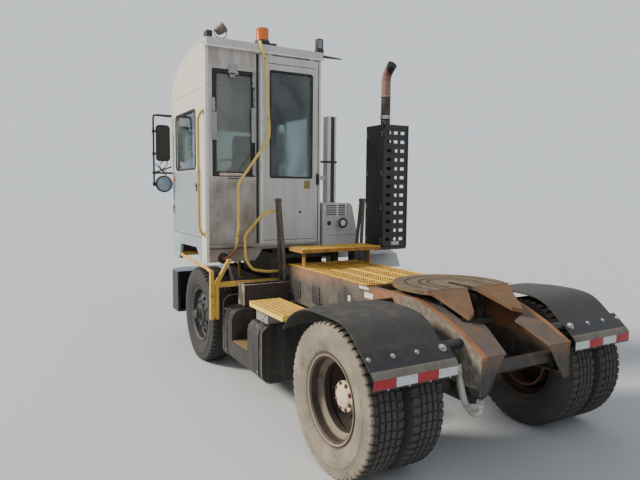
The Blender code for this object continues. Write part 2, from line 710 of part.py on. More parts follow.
def cab_mounts():
    """Rear bridge with two rests under the floor, and the front hinge ears with their pins."""
    inside = FRAME_OUT - PLATE / 2
    deep = 0.080
    bridge = FRONT_TOP + 0.300
    made = [box(REST_X, REST_X + deep, -inside, inside, bridge - 0.050, bridge)]
    for side in (1, -1):
        y0, y1 = span(side, inside - 0.060, inside)
        made.append(box(REST_X, REST_X + deep, y0, y1, FRONT_TOP - PLATE, bridge - 0.040))
    for y in REST_Y:
        made.append(box(REST_X + 0.010, REST_X + 0.070, y - 0.030, y + 0.030, bridge - 0.010,
                        FLOOR_Z - FLOOR_T - GAP))
    ear_x = FRAME_FRONT_X - 0.040
    made.append(box(ear_x, FRAME_FRONT_X - 0.005, -inside, inside, FRONT_TOP - 0.050, FRONT_TOP + 0.030))
    for y in HINGE_Y:
        for ear in (y - EAR_GAP - 0.020, y + EAR_GAP):
            made.append(box(ear_x + 0.010, TILT_X + 0.035, ear, ear + 0.020, FRONT_TOP + 0.015,
                            TILT_Z + 0.035))
        made.append(rod_y(TILT_X, TILT_Z, y - EAR_GAP - 0.010, y + EAR_GAP + 0.010, PIN_R))
    return made


def battery_tray():
    """Open angle frame for the batteries, welded to the left side plate."""
    y0 = FRAME_OUT - SINK
    z0, z1 = TANK_TOP + 0.010, TANK_TOP + 0.225
    leg = 0.030
    made = [box(x, x + leg, y0, BATTERY_OUT, z0, z1) for x in (BATTERY_X0, BATTERY_X1 - leg)]
    made.append(box(BATTERY_X0, BATTERY_X1, BATTERY_OUT - leg, BATTERY_OUT, z0, z1))
    made.append(box(BATTERY_X0 + 0.002, BATTERY_X1 - 0.002, y0, BATTERY_OUT - 0.002, z0, z0 + 0.010))
    return made


# Drive line

def engine_block():
    """Engine and gearbox as one plain stepped block on its mounts, with the propeller shaft behind."""
    engine = box(FRONT_X - 0.186, FRONT_X + 0.814, -0.310, 0.310, AXLE_Z + 0.055, AXLE_Z + 0.655)
    shaft_x = FRONT_X - 0.896
    bell = rod((shaft_x + 0.430, 0, AXLE_Z + 0.275), (shaft_x + 0.720, 0, AXLE_Z + 0.275), 0.230, 12)
    gearbox = box(shaft_x - 0.030, shaft_x + 0.450, -0.190, 0.190, AXLE_Z + 0.095, AXLE_Z + 0.395)
    shaft = tube([(shaft_x, 0, AXLE_Z + 0.215), (PINION_X + RUN, 0, AXLE_Z + 0.030)], 0.045, 10)
    web = FRAME_OUT - PLATE - GAP
    mounts = [box(FRONT_X + 0.100, FRONT_X + 0.220, -web, web, AXLE_Z + 0.215, AXLE_Z + 0.275),
              box(shaft_x + 0.150, shaft_x + 0.230, -web, web, AXLE_Z + 0.265, AXLE_Z + 0.315)]
    return fuse(engine, bell, gearbox, shaft, *mounts)


# Deck and side pieces

def deck_grating():
    """Walking deck cut into slats, with solid edges and a solid middle."""
    low = FRAME_TOP + GAP
    sheet = box(DECK_REAR_X, DECK_FRONT_X, -DECK_HALF, DECK_HALF, low, low + DECK_T)
    slots = []
    pitch = (DECK_FRONT_X - DECK_REAR_X) / DECK_SLATS
    for i in range(DECK_SLATS):
        x = DECK_REAR_X + pitch * (i + 0.5)
        for side in (1, -1):
            y0, y1 = span(side, 0.020, DECK_HALF - 0.035)
            slots.append(box(x - pitch * 0.22, x + pitch * 0.22, y0, y1, low - 0.050, low + 0.050))
    return cut(sheet, *slots)


def catwalk():
    """Narrow plank behind the cab on two brackets that stand on the deck."""
    x0, x1 = CATWALK_X, CATWALK_X + CATWALK_W
    y0, y1 = -DECK_HALF - 0.050, DECK_HALF + 0.060
    edge = 0.010
    plank = box(x0, x1, y0, y1, CATWALK_Z - CATWALK_T, CATWALK_Z)
    hollow = box(x0 + edge, x1 - edge, y0 + edge, y1 - edge, CATWALK_Z - CATWALK_T - 0.010, CATWALK_Z - 0.006)
    legs = []
    for side in (1, -1):
        leg_y0, leg_y1 = span(side, DECK_HALF - 0.032, DECK_HALF - 0.020)
        legs.append(box(x0 + 0.100, x0 + 0.160, leg_y0, leg_y1, FRAME_TOP + DECK_T + 2 * GAP,
                        CATWALK_Z - SINK))
    return fuse(cut(plank, hollow), *legs)


def saddle(side, x0, x1, grow=0.0):
    """A tank's body between two stations, its outer edges round."""
    a0, a1 = span(side, TANK_IN - grow, TANK_OUT + grow)
    return prism(rounded_rect(a0, a1, TANK_LOW - grow, TANK_TOP + grow, TANK_ROUND + grow), "X", x0, x1)


def tank_arms(side, x0, x1):
    """Brackets that carry a tank off the frame's side plate."""
    y0, y1 = span(side, FRAME_OUT + GAP, TANK_IN + 0.010)
    low = TANK_TOP - 0.180
    arms = []
    hung = span(side, FRAME_OUT + GAP, FRAME_OUT + 0.020)
    for x in (x0 + 0.150, x1 - 0.260):
        arms.append(box(x, x + 0.080, *hung, low, FRAME_LOW + 0.080))
        arms.append(box(x, x + 0.080, y0, y1, low, low + 0.080))
    return arms


def straps(side, *stations):
    return [saddle(side, x, x + STRAP_W, STRAP_T) for x in stations]


def step_tank():
    """Left tank, its middle cut away to a tread: the step up to the deck."""
    x0, x1 = TANK_FRONT_X - TANK_L, TANK_FRONT_X
    body = fuse(saddle(1, x0, x1), *straps(1, x0 + 0.060, x1 - 0.130))
    well = box(WELL_X0, WELL_X1, WELL_IN, TANK_OUT + 0.100, WELL_Z, TANK_TOP + 0.100)
    return fuse(cut(body, well), *tank_arms(1, x0, x1))


def step_plank():
    """Grooved step that stands on the tank and reaches back over the wheel."""
    top = PLANK_TOP
    x0 = TYRE_R + 0.375
    x1 = x0 + 0.700
    plank = box(x0, x1, PLANK_Y0, PLANK_Y1, top - PLANK_T, top)
    ribs = 6
    pitch = (PLANK_Y1 - PLANK_Y0) / ribs
    grooves = []
    for i in range(1, ribs):
        y = PLANK_Y0 + pitch * i
        grooves.append(box(x0 + 0.020, x1 - 0.020, y - 0.010, y + 0.010, top - 0.012, top + 0.010))
    foot_x0 = TANK_FRONT_X - TANK_L + 0.020
    foot = box(foot_x0, x1 - 0.020, PLANK_Y0 + 0.050, PLANK_Y1 - 0.060, TANK_TOP + STRAP_T + GAP,
               top - PLANK_T + SINK)
    return fuse(cut(plank, *grooves), foot)


def fuel_tank_right():
    """Right tank, the same section without the step."""
    x0, x1 = TANK_FRONT_X - FUEL_L, TANK_FRONT_X - 0.050
    return fuse(saddle(-1, x0, x1), *straps(-1, x0 + 0.150, x1 - 0.200), *tank_arms(-1, x0, x1))


def exhaust_guard():
    """Folded guard round the silencer, its rear face pierced, on a bracket from the frame."""
    x0, x1 = CAB_X - 0.370, CAB_X - 0.020
    outline = [(x1, GUARD_Y1), (x0, GUARD_Y1), (x0, GUARD_Y0), (x0 + SHEET, GUARD_Y0),
               (x0 + SHEET, GUARD_Y1 - SHEET),
               (x1, GUARD_Y1 - SHEET)]
    sheet = prism(outline, "Z", GUARD_LOW, GUARD_TOP)
    rows, columns = 13, 3
    rise = (GUARD_TOP - GUARD_LOW - 0.080) / rows
    pitch = (GUARD_Y1 - GUARD_Y0 - 0.060) / columns
    holes = []
    for row in range(rows):
        z = GUARD_LOW + 0.040 + rise * (row + 0.5)
        for column in range(columns):
            y = GUARD_Y0 + 0.030 + pitch * (column + 0.5)
            holes.append(box_at(x0, y, z, 0.080, pitch * 0.62, rise * 0.34))
    sheet = cut(sheet, *holes)
    foot = box(x0, x1, GUARD_Y0, GUARD_Y1 + 0.095, GUARD_LOW - 0.030, GUARD_LOW + SINK)
    leg_x = STEP_X0 + 0.005
    leg = box(leg_x, leg_x + 0.045, GUARD_Y1 + 0.080, -FRAME_OUT - GAP, FRAME_TOP - 0.202, GUARD_LOW - 0.010)
    return fuse(sheet, foot, leg)


def exhaust_stack():
    """Silencer drum inside the guard and the stack above it, bent back at the tip."""
    x = CAB_X - 0.190
    y = (GUARD_Y0 + GUARD_Y1) / 2 + 0.025
    low = GUARD_LOW + SINK + GAP
    drum = rod((x, y, low), (x, y, GUARD_TOP - 0.200), SILENCER_R, 16)
    tip = GUARD_TOP + 0.690
    pipe = tube([(x, y, GUARD_TOP - 0.280), (x, y, tip - 0.100), (x - 0.120, y, tip)], STACK_R, 12,
                bend=0.090)
    return fuse(drum, pipe)


def cowl_section(skin, low):
    """Cowl seen from behind, moved in by skin on its top and outer side."""
    outer = COWL_LEFT - COWL_W
    foot = outer - COWL_FLARE
    return [(COWL_LEFT - skin, low), (COWL_LEFT - skin, COWL_TOP - abs(skin)),
            (outer + skin, COWL_TOP - abs(skin)),
            (outer - 0.026 + skin, COWL_TOP - 0.035), (foot + skin, COWL_STEP), (foot + skin, low)]


def engine_cowl():
    """White cover beside the cab, open below, with its louvres and the right wing over the front wheel."""
    shell = prism(cowl_section(0, COWL_LOW), "X", COWL_X0, COWL_X1)
    room = cowl_section(COWL_T, COWL_LOW - 0.100)
    shell = cut(shell, prism(room, "X", COWL_X0 + COWL_T, COWL_X1 - COWL_T))
    slots = []
    for x, rows, low, height in ((COWL_X0, 5, COWL_TOP - 0.145, 0.130),
                                 (COWL_X1, 9, COWL_LOW + 0.130, 0.380)):
        rise = height / rows
        for row in range(rows):
            slots.append(box_at(x, COWL_LEFT - 0.190, low + rise * (row + 0.5), 0.100, 0.300, rise * 0.45))
    shell = cut(shell, *slots)
    port = rod((COWL_X0 - 0.012, COWL_LEFT - 0.215, COWL_TOP - 0.224), (COWL_X0 + 0.004, COWL_LEFT - 0.215,
        COWL_TOP - 0.224),
               0.050, 12)
    wing_path = round_wheel(((141, 0.229), (129, 0.279), (110, 0.207), (66, 0.229), (46, 0.302),
                             (37, 0.239)), FRONT_X)
    wing = prism(strip(wing_path, SHEET), "Y", -FRONT_Y - TYRE_HALF - RUN, COWL_LEFT - COWL_W - 0.116)
    legs = []
    for x in (COWL_X0 + 0.230, COWL_X1 - 0.180):
        legs.append(box(x, x + 0.050, COWL_LEFT - COWL_W - 0.116, COWL_LEFT + 0.002 - COWL_T, COWL_LOW,
                        COWL_LOW + 0.032))
        legs.append(box(x, x + 0.050, FLANGE - FRAME_OUT - 0.080, FLANGE - FRAME_OUT - 0.010,
                        FRONT_TOP + GAP, COWL_LOW + 0.010))
    return fuse(shell, port, wing, *legs)


def front_bumper():
    """Deep folded bumper with cut-back ends, open behind them, and a round recess for each headlamp."""
    x0 = FRAME_FRONT_X + GAP
    deep, half, end = 0.400, 1.120, 0.140
    low, top = AXLE_Z - 0.195, AXLE_Z + 0.335
    plan = [(x0, -half), (x0 + deep - end, -half), (x0 + deep, end - half), (x0 + deep, half - end),
            (x0 + deep - end, half), (x0, half)]
    beam = prism(plan, "Z", low, top)
    tools = []
    for side in (1, -1):
        y0, y1 = span(side, FRAME_OUT + 0.020, half - 0.030)
        tools.append(box(x0 - 0.100, x0 + deep - end - 0.030, y0, y1, low + 0.030, top - 0.030))
        y = side * (half - 0.290)
        lamp_z = (low + top) / 2 + 0.060
        tools.append(rod((x0 + deep - 0.060, y, lamp_z), (x0 + deep + 0.050, y, lamp_z), 0.095, 16))
    for z in (low + 0.100, low + 0.165):
        tools.append(box(x0 + deep - 0.050, x0 + deep + 0.050, -0.450, 0.450, z, z + 0.035))
    return cut(beam, *tools)


def bracket_post():
    """Forked yellow post behind the left front wheel, its bar looped over the wheel to the frame."""
    x0, x1 = TANK_FRONT_X + 0.010, TANK_FRONT_X + 0.055
    y = FRONT_Y + TYRE_HALF + 0.006
    low = AXLE_Z + 0.065
    knee = low + 0.390
    post = box(x0, x1, y - 0.045, y + 0.045, low, knee)
    groove = box(x0 - 0.100, x0 + 0.012, y - 0.010, y + 0.010, low - 0.010, knee - 0.040)
    tines = [prism([(y + a, knee - 0.020), (y + b, knee - 0.020), (y + d, knee + 0.120 + rise),
                    (y + c, knee + 0.120 + rise)],
                   "X", x0, x1) for a, b, c, d, rise in ((0.005, 0.045, 0.010, 0.042, 0),
                       (-0.045, -0.005, -0.185, -0.150, 0.105))]
    arm = box(x0, x1, FRAME_OUT + GAP, y - 0.040, knee - 0.060, knee - 0.010)
    top = knee + 0.120
    far = FRONT_X + 0.494
    bar = tube([(x0 + 0.020, y + 0.026, top - 0.020), (x0 + 0.140, y + 0.040, top + 0.010),
                (far - 0.050, y + 0.045, top + 0.060),
                (far, y - 0.050, top + 0.060), (far, FRAME_OUT + 0.080, top + 0.060),
                (far, FRAME_OUT + 0.060, FRONT_TOP - 0.060),
                (far, FRAME_OUT + GAP, FRONT_TOP - 0.060)], 0.018, 8, bend=0.040)
    return fuse(cut(post, groove), *tines, arm, bar)


def yellow_tube():
    """Hand rail from the head of the left post down and back to the frame's side plate."""
    x = POST_X + 0.030
    head_y = FRAME_OUT + POST_OUT + POST_LEAN
    low_x = STEP_X0 + 0.045
    z = FRAME_TOP - 0.077
    path = [(x, head_y + 0.014, POST_TOP - 0.110), (x, head_y + 0.060, POST_TOP - 0.112),
            (x + 0.050, head_y + 0.142, POST_TOP - 0.141),
            (x + 0.150, head_y + 0.306, POST_TOP - 0.375), (x + 0.150, head_y + 0.296, POST_TOP - 0.619),
            (x + 0.120, head_y + 0.235, z + 0.030), (low_x, head_y + 0.070, z), (low_x, FRAME_OUT + GAP, z)]
    return tube(path, 0.016, 8, bend=0.040)


def mudguard(side):
    """Rubber mudguard bent over the rear wheels, with its steel bar and bracket at the tail."""
    path = round_wheel(((157, 0.088), (150, 0.100), (132.6, 0.066), (111.4, 0.077), (84.1, 0.063),
                        (59, 0.134), (40.3, 0.209),
                        (27.6, 0.242)), 0)
    outer = REAR_OUTER_Y + TYRE_HALF - 0.005
    sheet = prism(strip(path, 0.010), "Y", *span(side, SHEET_IN, outer))
    edge_x, edge_z = path[0]
    y0, y1 = span(side, FRAME_OUT + 0.140, outer + 0.010)
    bar = box(edge_x - 0.014, edge_x + 0.008, y0, y1, edge_z - 0.008, edge_z + 0.062)
    tube_x, tube_z = path[2]
    y0, y1 = span(side, FRAME_OUT + GAP, FRAME_OUT + 0.200)
    bracket = rod_y(tube_x, tube_z, y0, y1, 0.030, 10)
    stay_x, stay_z = path[5]
    stay = rod_y(stay_x, stay_z - 0.012, y0, y1, 0.016, 10)
    return fuse(sheet, bar, bracket, stay)


def make_chassis(body):
    for name, piece, finish in (
            ("frame", frame(), "chassis"), ("front_axle", front_axle(), "chassis"),
            ("rear_axle", rear_axle(), "chassis"), ("engine_block", engine_block(), "chassis"),
            ("deck_grating", deck_grating(), "yellow"), ("catwalk", catwalk(), "yellow"),
            ("step_tank", step_tank(), "black"), ("step_plank", step_plank(), "yellow"),
            ("fuel_tank_right", fuel_tank_right(), "black"), ("exhaust_guard", exhaust_guard(), "black"),
            ("exhaust_stack", exhaust_stack(), "steel"), ("engine_cowl", engine_cowl(), "cab_white"),
            ("front_bumper", front_bumper(), "black"), ("bracket_post", bracket_post(), "yellow"),
            ("yellow_tube", yellow_tube(), "yellow"), ("mudguard_left", mudguard(1), "rubber"),
            ("mudguard_right", mudguard(-1), "rubber")):
        node(name, piece, finish, body)


# Cab

def cab_at(points):
    """Side-view points given from the cab's corner."""
    return [(CAB_X + x, FLOOR_Z + z) for x, z in points]


def above_floor(opening):
    low, high, z0, z1 = opening
    return low, high, FLOOR_Z + z0, FLOOR_Z + z1


def roof_path():
    """Outer line of the roof skin, from its rear edge to the seam with the nose."""
    return cab_at(smooth(ROOF_LINE) + [NOSE_LINE[0]])


def side_line(side):
    """Outer line of one side of the cab seen from above, so directed that its right is inside."""
    wall = CAB_LEFT if side > 0 else CAB_RIGHT
    line = [(CAB_X - 0.200, wall), (CORNER_X, wall), (CORNER_X + CORNER_L, wall - side * CORNER_IN)]
    return line if side > 0 else line[::-1]


def side_face(side, x):
    """Y of a side wall's outer face at x."""
    turned_in = max(0.0, x - CORNER_X) * CORNER_IN / CORNER_L
    return CAB_LEFT - turned_in if side > 0 else CAB_RIGHT + turned_in


def cab_plan(skin):
    """The cab seen from above as a solid between its sides, each moved in by skin."""
    return prism(offset_path(side_line(1), skin) + offset_path(side_line(-1), skin), "Z", 0.500, 4.000)


def across_cab(outline):
    """A side-view outline drawn right across the cab and trimmed to the shape seen from above."""
    return keep(prism(outline, "Y", CAB_RIGHT - 0.100, CAB_LEFT + 0.100), cab_plan(0))


def shift_start(path):
    """The path with its first point moved on a little, so that two panels meet with a gap."""
    first, second = Vector(path[0]), Vector(path[1])
    step = (second - first).normalized() * GAP * 2
    return [tuple(first + step)] + list(path[1:])


def cab_roof():
    """Curved roof skin over the walls, with a lip down the rear edge."""
    path = roof_path()
    inner = offset_path(path + cab_at(NOSE_LINE[1:]), WALL)[:len(path)]
    lip = box(path[0][0], CAB_X + 0.020, CAB_RIGHT, CAB_LEFT, EAVE_Z, path[0][1] - 0.002)
    return fuse(across_cab(path + inner[::-1]), lip)


def cab_nose():
    """Front panel with the windscreen opening."""
    path = roof_path()
    inner = offset_path(path + cab_at(NOSE_LINE[1:]), WALL)[len(path) - 1:]
    outer = cab_at(NOSE_LINE)
    panel = across_cab(shift_start(outer) + shift_start(inner)[::-1])
    y0, y1, z0, z1 = above_floor(WINDSCREEN)
    return cut(panel, box(CORNER_X + 0.100, CORNER_X + 0.600, y0, y1, z0, z1))


def windscreen():
    y0, y1, z0, z1 = above_floor(WINDSCREEN)
    pane = prism(strip(offset_path(cab_at(NOSE_LINE), WALL * 0.4), GLASS_T), "Y", y0 + GAP, y1 - GAP)
    return keep(pane, box(CORNER_X, CORNER_X + 0.700, y0 - 0.100, y1 + 0.100, z0 + GAP, z1 - GAP))


def side_wall(side, lower, *openings):
    """Bent side plate inside the roof and nose skins, down to the skirt."""
    upper = offset_path(roof_path() + cab_at(NOSE_LINE[1:]), WALL + GAP)
    upper[0] = (CAB_X + WALL + GAP, upper[0][1])
    side_view = prism(upper + cab_at(lower)[::-1], "Y", CAB_RIGHT - 0.100, CAB_LEFT + 0.100)
    line = side_line(side)
    wall = keep(prism(line + offset_path(line, WALL)[::-1], "Z", 0.500, 4.000), side_view)
    face = side_face(side, CAB_X)
    return cut(wall, *[box(x0, x1, face - 0.100, face + 0.100, z0, z1) for x0, x1, z0, z1 in openings])


def pierced(outline, x0, x1, *openings):
    """A plate across the vehicle with rectangular openings."""
    return cut(prism(outline, "X", x0, x1), *[box(x0 - 0.100, x1 + 0.100, *opening) for opening in openings])


def rear_wall():
    """Rear wall with window and door opening, its skirt cut back at the right, and the door's lower rail."""
    step = 0.044
    outline = [(CAB_LEFT, SKIRT_Z), (CAB_LEFT, EAVE_Z - GAP), (CAB_RIGHT, EAVE_Z - GAP),
               (CAB_RIGHT, RIGHT_SKIRT_Z),
               (SKIRT_STEP_Y - step, RIGHT_SKIRT_Z), (SKIRT_STEP_Y + step, SKIRT_Z)]
    wall = pierced(outline, CAB_X, CAB_X + WALL, above_floor(REAR_WINDOW), above_floor(REAR_OPENING))
    rail_top = FLOOR_Z + REAR_DOOR[2] - GAP
    rail_x = CAB_X - REAR_DOOR_GAP - REAR_DOOR_T - 0.004
    return fuse(wall, box(rail_x, CAB_X + SINK, REAR_DOOR[0], CAB_LEFT - 0.010, rail_top - 0.026, rail_top))


def cab_floor():
    """Floor slab with the two arms that hang on the front hinge."""
    slab = box(CAB_X + WALL + GAP, FLOOR_FRONT_X, CAB_RIGHT, CAB_LEFT, FLOOR_Z - FLOOR_T, FLOOR_Z)
    slab = keep(slab, cab_plan(WALL + GAP))
    arms = []
    for y in HINGE_Y:
        arm = box(TILT_X - 0.035, TILT_X + 0.030, y - HINGE_ARM, y + HINGE_ARM, TILT_Z - 0.035,
                  FLOOR_Z - 0.010)
        arms.append(cut(arm, rod_y(TILT_X, TILT_Z, y - 0.100, y + 0.100, PIN_R + PIN_FIT, 24)))
    return fuse(slab, *arms)


def pane_in(axis, bounds, middle):
    """Glass that fills an opening."""
    a0, a1, b0, b1 = bounds
    return prism(rect(a0 + GAP, a1 - GAP, b0 + GAP, b1 - GAP), axis, middle - GLASS_T / 2,
                 middle + GLASS_T / 2)


def seat():
    """Driver's seat on a box, its back leaning."""
    x, y, z = SEAT_X, SEAT_Y, FLOOR_Z
    base = box(x - 0.170, x + 0.130, y - 0.190, y + 0.210, z + GAP, z + 0.368)
    cushion = box(x - 0.260, x + 0.260, y - 0.260, y + 0.260, z + 0.358, z + 0.498)
    back = prism([(x - 0.240, z + 0.488), (x - 0.120, z + 0.488), (x - 0.220, z + 1.228),
                  (x - 0.320, z + 1.228)],
                 "Y", y - 0.250, y + 0.250)
    return fuse(base, cushion, back)


def dash():
    """Dash panel with the steering column and wheel."""
    inset = WALL + 0.100
    panel = box(CAB_X + 1.350, CAB_X + 1.560, CAB_RIGHT + inset, CAB_LEFT - inset, FLOOR_Z + GAP,
                FLOOR_Z + 0.668)
    centre = Vector((SEAT_X + 0.420, SEAT_Y, FLOOR_Z + 0.818))
    down = Vector((0.260, 0, -0.200))
    column = tube([centre + down, centre], 0.030, 8)
    hub = tube([centre + down * 0.090, centre - down * 0.050], 0.040, 8)
    across = Vector((0, 1, 0))
    up = across.cross(down).normalized()
    corners = 15
    turns = [2 * math.pi * k / corners for k in range(corners)]
    ring = [centre + 0.200 * (math.cos(a) * across + math.sin(a) * up) for a in turns]
    spokes = [tube([centre, ring[k]], 0.012, 6) for k in (0, 5, 10)]
    return fuse(panel, column, hub, ring_tube(ring, 0.015, 6), *spokes)


def ring_tube(points, radius, sides):
    """A closed round ring through points."""
    count = len(points)
    middle = sum(points, Vector()) / count
    normal = (points[0] - middle).cross(points[1] - middle).normalized()
    verts = []
    for point in points:
        out = (point - middle).normalized()
        for k in range(sides):
            angle = 2 * math.pi * k / sides
            verts.append(point + radius * (math.cos(angle) * out + math.sin(angle) * normal))
    faces = []
    for i in range(count):
        j = (i + 1) % count
        for k in range(sides):
            n = (k + 1) % sides
            faces.append((i * sides + k, i * sides + n, j * sides + n, j * sides + k))
    return mesh_object(verts, faces)


def mirror(side):
    """Tall mirror and round convex mirror on a stem, carried by two arms from the cab's corner."""
    x = CAB_X + 1.355
    wall = CAB_LEFT if side > 0 else CAB_RIGHT
    stem_y = wall + side * 0.217
    arm_end = side_face(side, x - 0.012) + side * GAP
    y0, y1 = sorted((wall + side * 0.026, wall + side * 0.187))
    plate = prism(rounded_rect(y0, y1, FLOOR_Z + 0.933, FLOOR_Z + 1.366, 0.030, 2), "X", x - 0.020, x + 0.020)
    convex = rod((x - 0.015, wall + side * 0.100, FLOOR_Z + 0.653), (x + 0.015, wall + side * 0.100,
        FLOOR_Z + 0.653), 0.100, 16)
    stem = tube([(x, stem_y, FLOOR_Z + 0.620), (x, stem_y, FLOOR_Z + 1.488), (x, arm_end, FLOOR_Z + 1.488)],
                0.012, 6, bend=0.040)
    arm = rod_y(x, FLOOR_Z + 0.788, stem_y, arm_end, 0.012, 6)
    clips = []
    for z, inner in ((0.653, 0.190), (1.020, 0.180), (1.290, 0.180)):
        y0, y1 = sorted((wall + side * inner, stem_y))
        clips.append(box(x - 0.007, x + 0.007, y0, y1, FLOOR_Z + z - 0.010, FLOOR_Z + z + 0.010))
    return fuse(plate, convex, stem, arm, *clips)


def on_roof(x0, x1, y0, y1, height):
    """A block whose underside follows the roof, its top at a height above the floor."""
    foot = [(x, height_at(roof_path(), x) + GAP) for x in (x0, x1)]
    return prism(foot + [(x1, FLOOR_Z + height), (x0, FLOOR_Z + height)], "Y", y0, y1)


def beacon():
    """Amber lamp on a low foot."""
    y = CAB_LEFT - 0.649
    foot = on_roof(CAB_X - 0.030, CAB_X + 0.110, y - 0.090, y + 0.090, 2.170)
    lens = rod((CAB_X + 0.040, y, FLOOR_Z + 2.160), (CAB_X + 0.040, y, FLOOR_Z + 2.290), 0.070, 16)
    crown = rod((CAB_X + 0.040, y, FLOOR_Z + 2.280), (CAB_X + 0.040, y, FLOOR_Z + 2.320), 0.048, 16)
    return fuse(foot, lens, crown)


def work_lamp():
    """Round lamp tipped back at the left rear roof corner, with the black block at the corner itself."""
    y = CAB_LEFT - 0.180
    foot = on_roof(CAB_X + 0.010, CAB_X + 0.060, y - 0.025, CAB_LEFT - 0.010, 2.160)
    block = on_roof(CAB_X - 0.040, CAB_X + 0.060, CAB_LEFT - 0.060, CAB_LEFT - 0.010, 2.190)
    neck = box(CAB_X + 0.020, CAB_X + 0.050, y - 0.020, y + 0.020, FLOOR_Z + 2.150, FLOOR_Z + 2.240)
    head = rod((CAB_X, y, FLOOR_Z + 2.222), (CAB_X + 0.085, y, FLOOR_Z + 2.246), 0.050, 16)
    return fuse(foot, block, neck, head)


def roof_bracket():
    """Bracket on the right rear roof corner with a square lamp and a thin blade."""
    y = CAB_RIGHT - GAP
    x0, x1 = CAB_X - 0.040, CAB_X + 0.020
    upright = box(x0, x1, y - 0.012, y, FLOOR_Z + 2.048, FLOOR_Z + 2.168)
    arm = on_roof(x0, x1, y - 0.012, CAB_RIGHT + 0.070, 2.168)
    lamp = box(x0 + 0.010, x1, CAB_RIGHT - 0.005, CAB_RIGHT + 0.065, FLOOR_Z + 2.164, FLOOR_Z + 2.278)
    blade = prism([(y - 0.005, FLOOR_Z + 2.078), (y - 0.005, FLOOR_Z + 2.108), (y - 0.270, FLOOR_Z + 2.096),
                   (y - 0.270, FLOOR_Z + 2.088)], "X", x0 + 0.020, x1 - 0.020)
    return fuse(upright, arm, lamp, blade)


def grab_rail_rear():
    """Long bent rail that stands off the rear face, from the roof rim to the skirt."""
    x = CAB_X - 0.110
    rim = CAB_X - 0.052
    top = height_at(roof_path(), rim + 0.020) + 0.0155
    path = [(rim + 0.018, CAB_LEFT - 0.580, top), (rim - 0.030, CAB_LEFT - 0.575, top)]
    bends = (  # right of the cab's left face, height above the floor
        (0.571, 2.071), (0.625, 1.957), (0.642, 1.645), (0.666, 1.215), (0.658, 1.131), (0.312, 0.657),
        (0.310, 0.192),
        (0.278, -0.046))
    path += [(x, CAB_LEFT - right, FLOOR_Z + height) for right, height in bends]
    foot = FLOOR_Z - 0.137
    path += [(CAB_X - 0.070, CAB_LEFT - 0.180, foot), (CAB_X - GAP, CAB_LEFT - 0.180, foot)]
    return tube(path, 0.015, 8, bend=0.040)


def side_grab_bar():
    """Straight bar beside the side door, bent in to the wall at both ends."""
    x = CAB_X + 0.065
    wall = CAB_LEFT + GAP
    bends = (  # behind the bar's upper end, outside the wall, height above the floor
        (0, 0, 1.393), (0, 0.025, 1.393), (0, 0.060, 1.319), (0.010, 0.060, 0.191), (0.020, 0.025, 0.117),
        (0.020, 0, 0.117))
    return tube([(x - behind, wall + out, FLOOR_Z + height) for behind, out, height in bends], 0.014, 8,
                bend=0.020)


def duct():
    """White channel that stands beside the cab above the cowl, held by a bracket on the wall."""
    y0, y1 = CAB_RIGHT - 0.213, CAB_RIGHT - 0.094
    low, top = COWL_TOP + RUN, FLOOR_Z + 1.438
    tall = box(CAB_X, CAB_X + 0.100, y0, y1, low, top)
    groove = box(CAB_X - 0.050, CAB_X + 0.030, y0 + 0.025, y1 - 0.025, low - 0.050, top - 0.030)
    hold = box(CAB_X + 0.040, CAB_X + 0.080, y1 - 0.006, CAB_RIGHT - GAP, FLOOR_Z + 0.708, FLOOR_Z + 0.758)
    return fuse(cut(tall, groove), hold)


def hinge_x():
    return SIDE_DOOR[1] + 0.007


def hinge_leaves(ahead):
    """The two hinge halves of the side door: ahead is 1 for the wall's, -1 for the door's."""
    x, y = hinge_x(), CAB_LEFT + HINGE_OUT
    made = []
    for height in (0.350, 1.400):
        z = FLOOR_Z + height
        z0, z1 = sorted((z + ahead * GAP, z + ahead * 0.050))
        x0, x1 = sorted((x + ahead * 0.009, x + ahead * 0.050))
        made.append(box(x0, x1, CAB_LEFT - SINK, CAB_LEFT + 0.006, z0, z1))
        x0, x1 = sorted((x, x + ahead * 0.040))
        made.append(box(x0, x1, CAB_LEFT + 0.0005, CAB_LEFT + 0.006, z0, z1))
        made.append(rod((x, y, z0), (x, y, z1), HINGE_R, 12))
    return made


def side_door():
    """Left door panel with its window opening and hinge halves."""
    x0, x1, z0, z1 = above_floor(SIDE_DOOR)
    door = box(x0, x1, CAB_LEFT - WALL, CAB_LEFT, z0, z1)
    a0, a1, b0, b1 = above_floor(SIDE_WINDOW)
    return fuse(cut(door, box(a0, a1, CAB_LEFT - 0.100, CAB_LEFT + 0.100, b0, b1)), *hinge_leaves(-1))


def rear_door():
    """Sliding door panel hung by two blocks under the roof's lip."""
    x1 = CAB_X - REAR_DOOR_GAP
    x0 = x1 - REAR_DOOR_T
    y0, y1, z0, z1 = above_floor(REAR_DOOR)
    panel = pierced([(y0, z0), (y1, z0), (y1, z1), (y0, z1)], x0, x1, above_floor(REAR_DOOR_GLASS))
    hangers = [box(x0 + 0.008, x1 - 0.008, y - 0.030, y + 0.030, z1 - SINK, EAVE_Z - GAP)
               for y in (y0 + 0.110, y1 - 0.110)]
    return fuse(panel, *hangers)


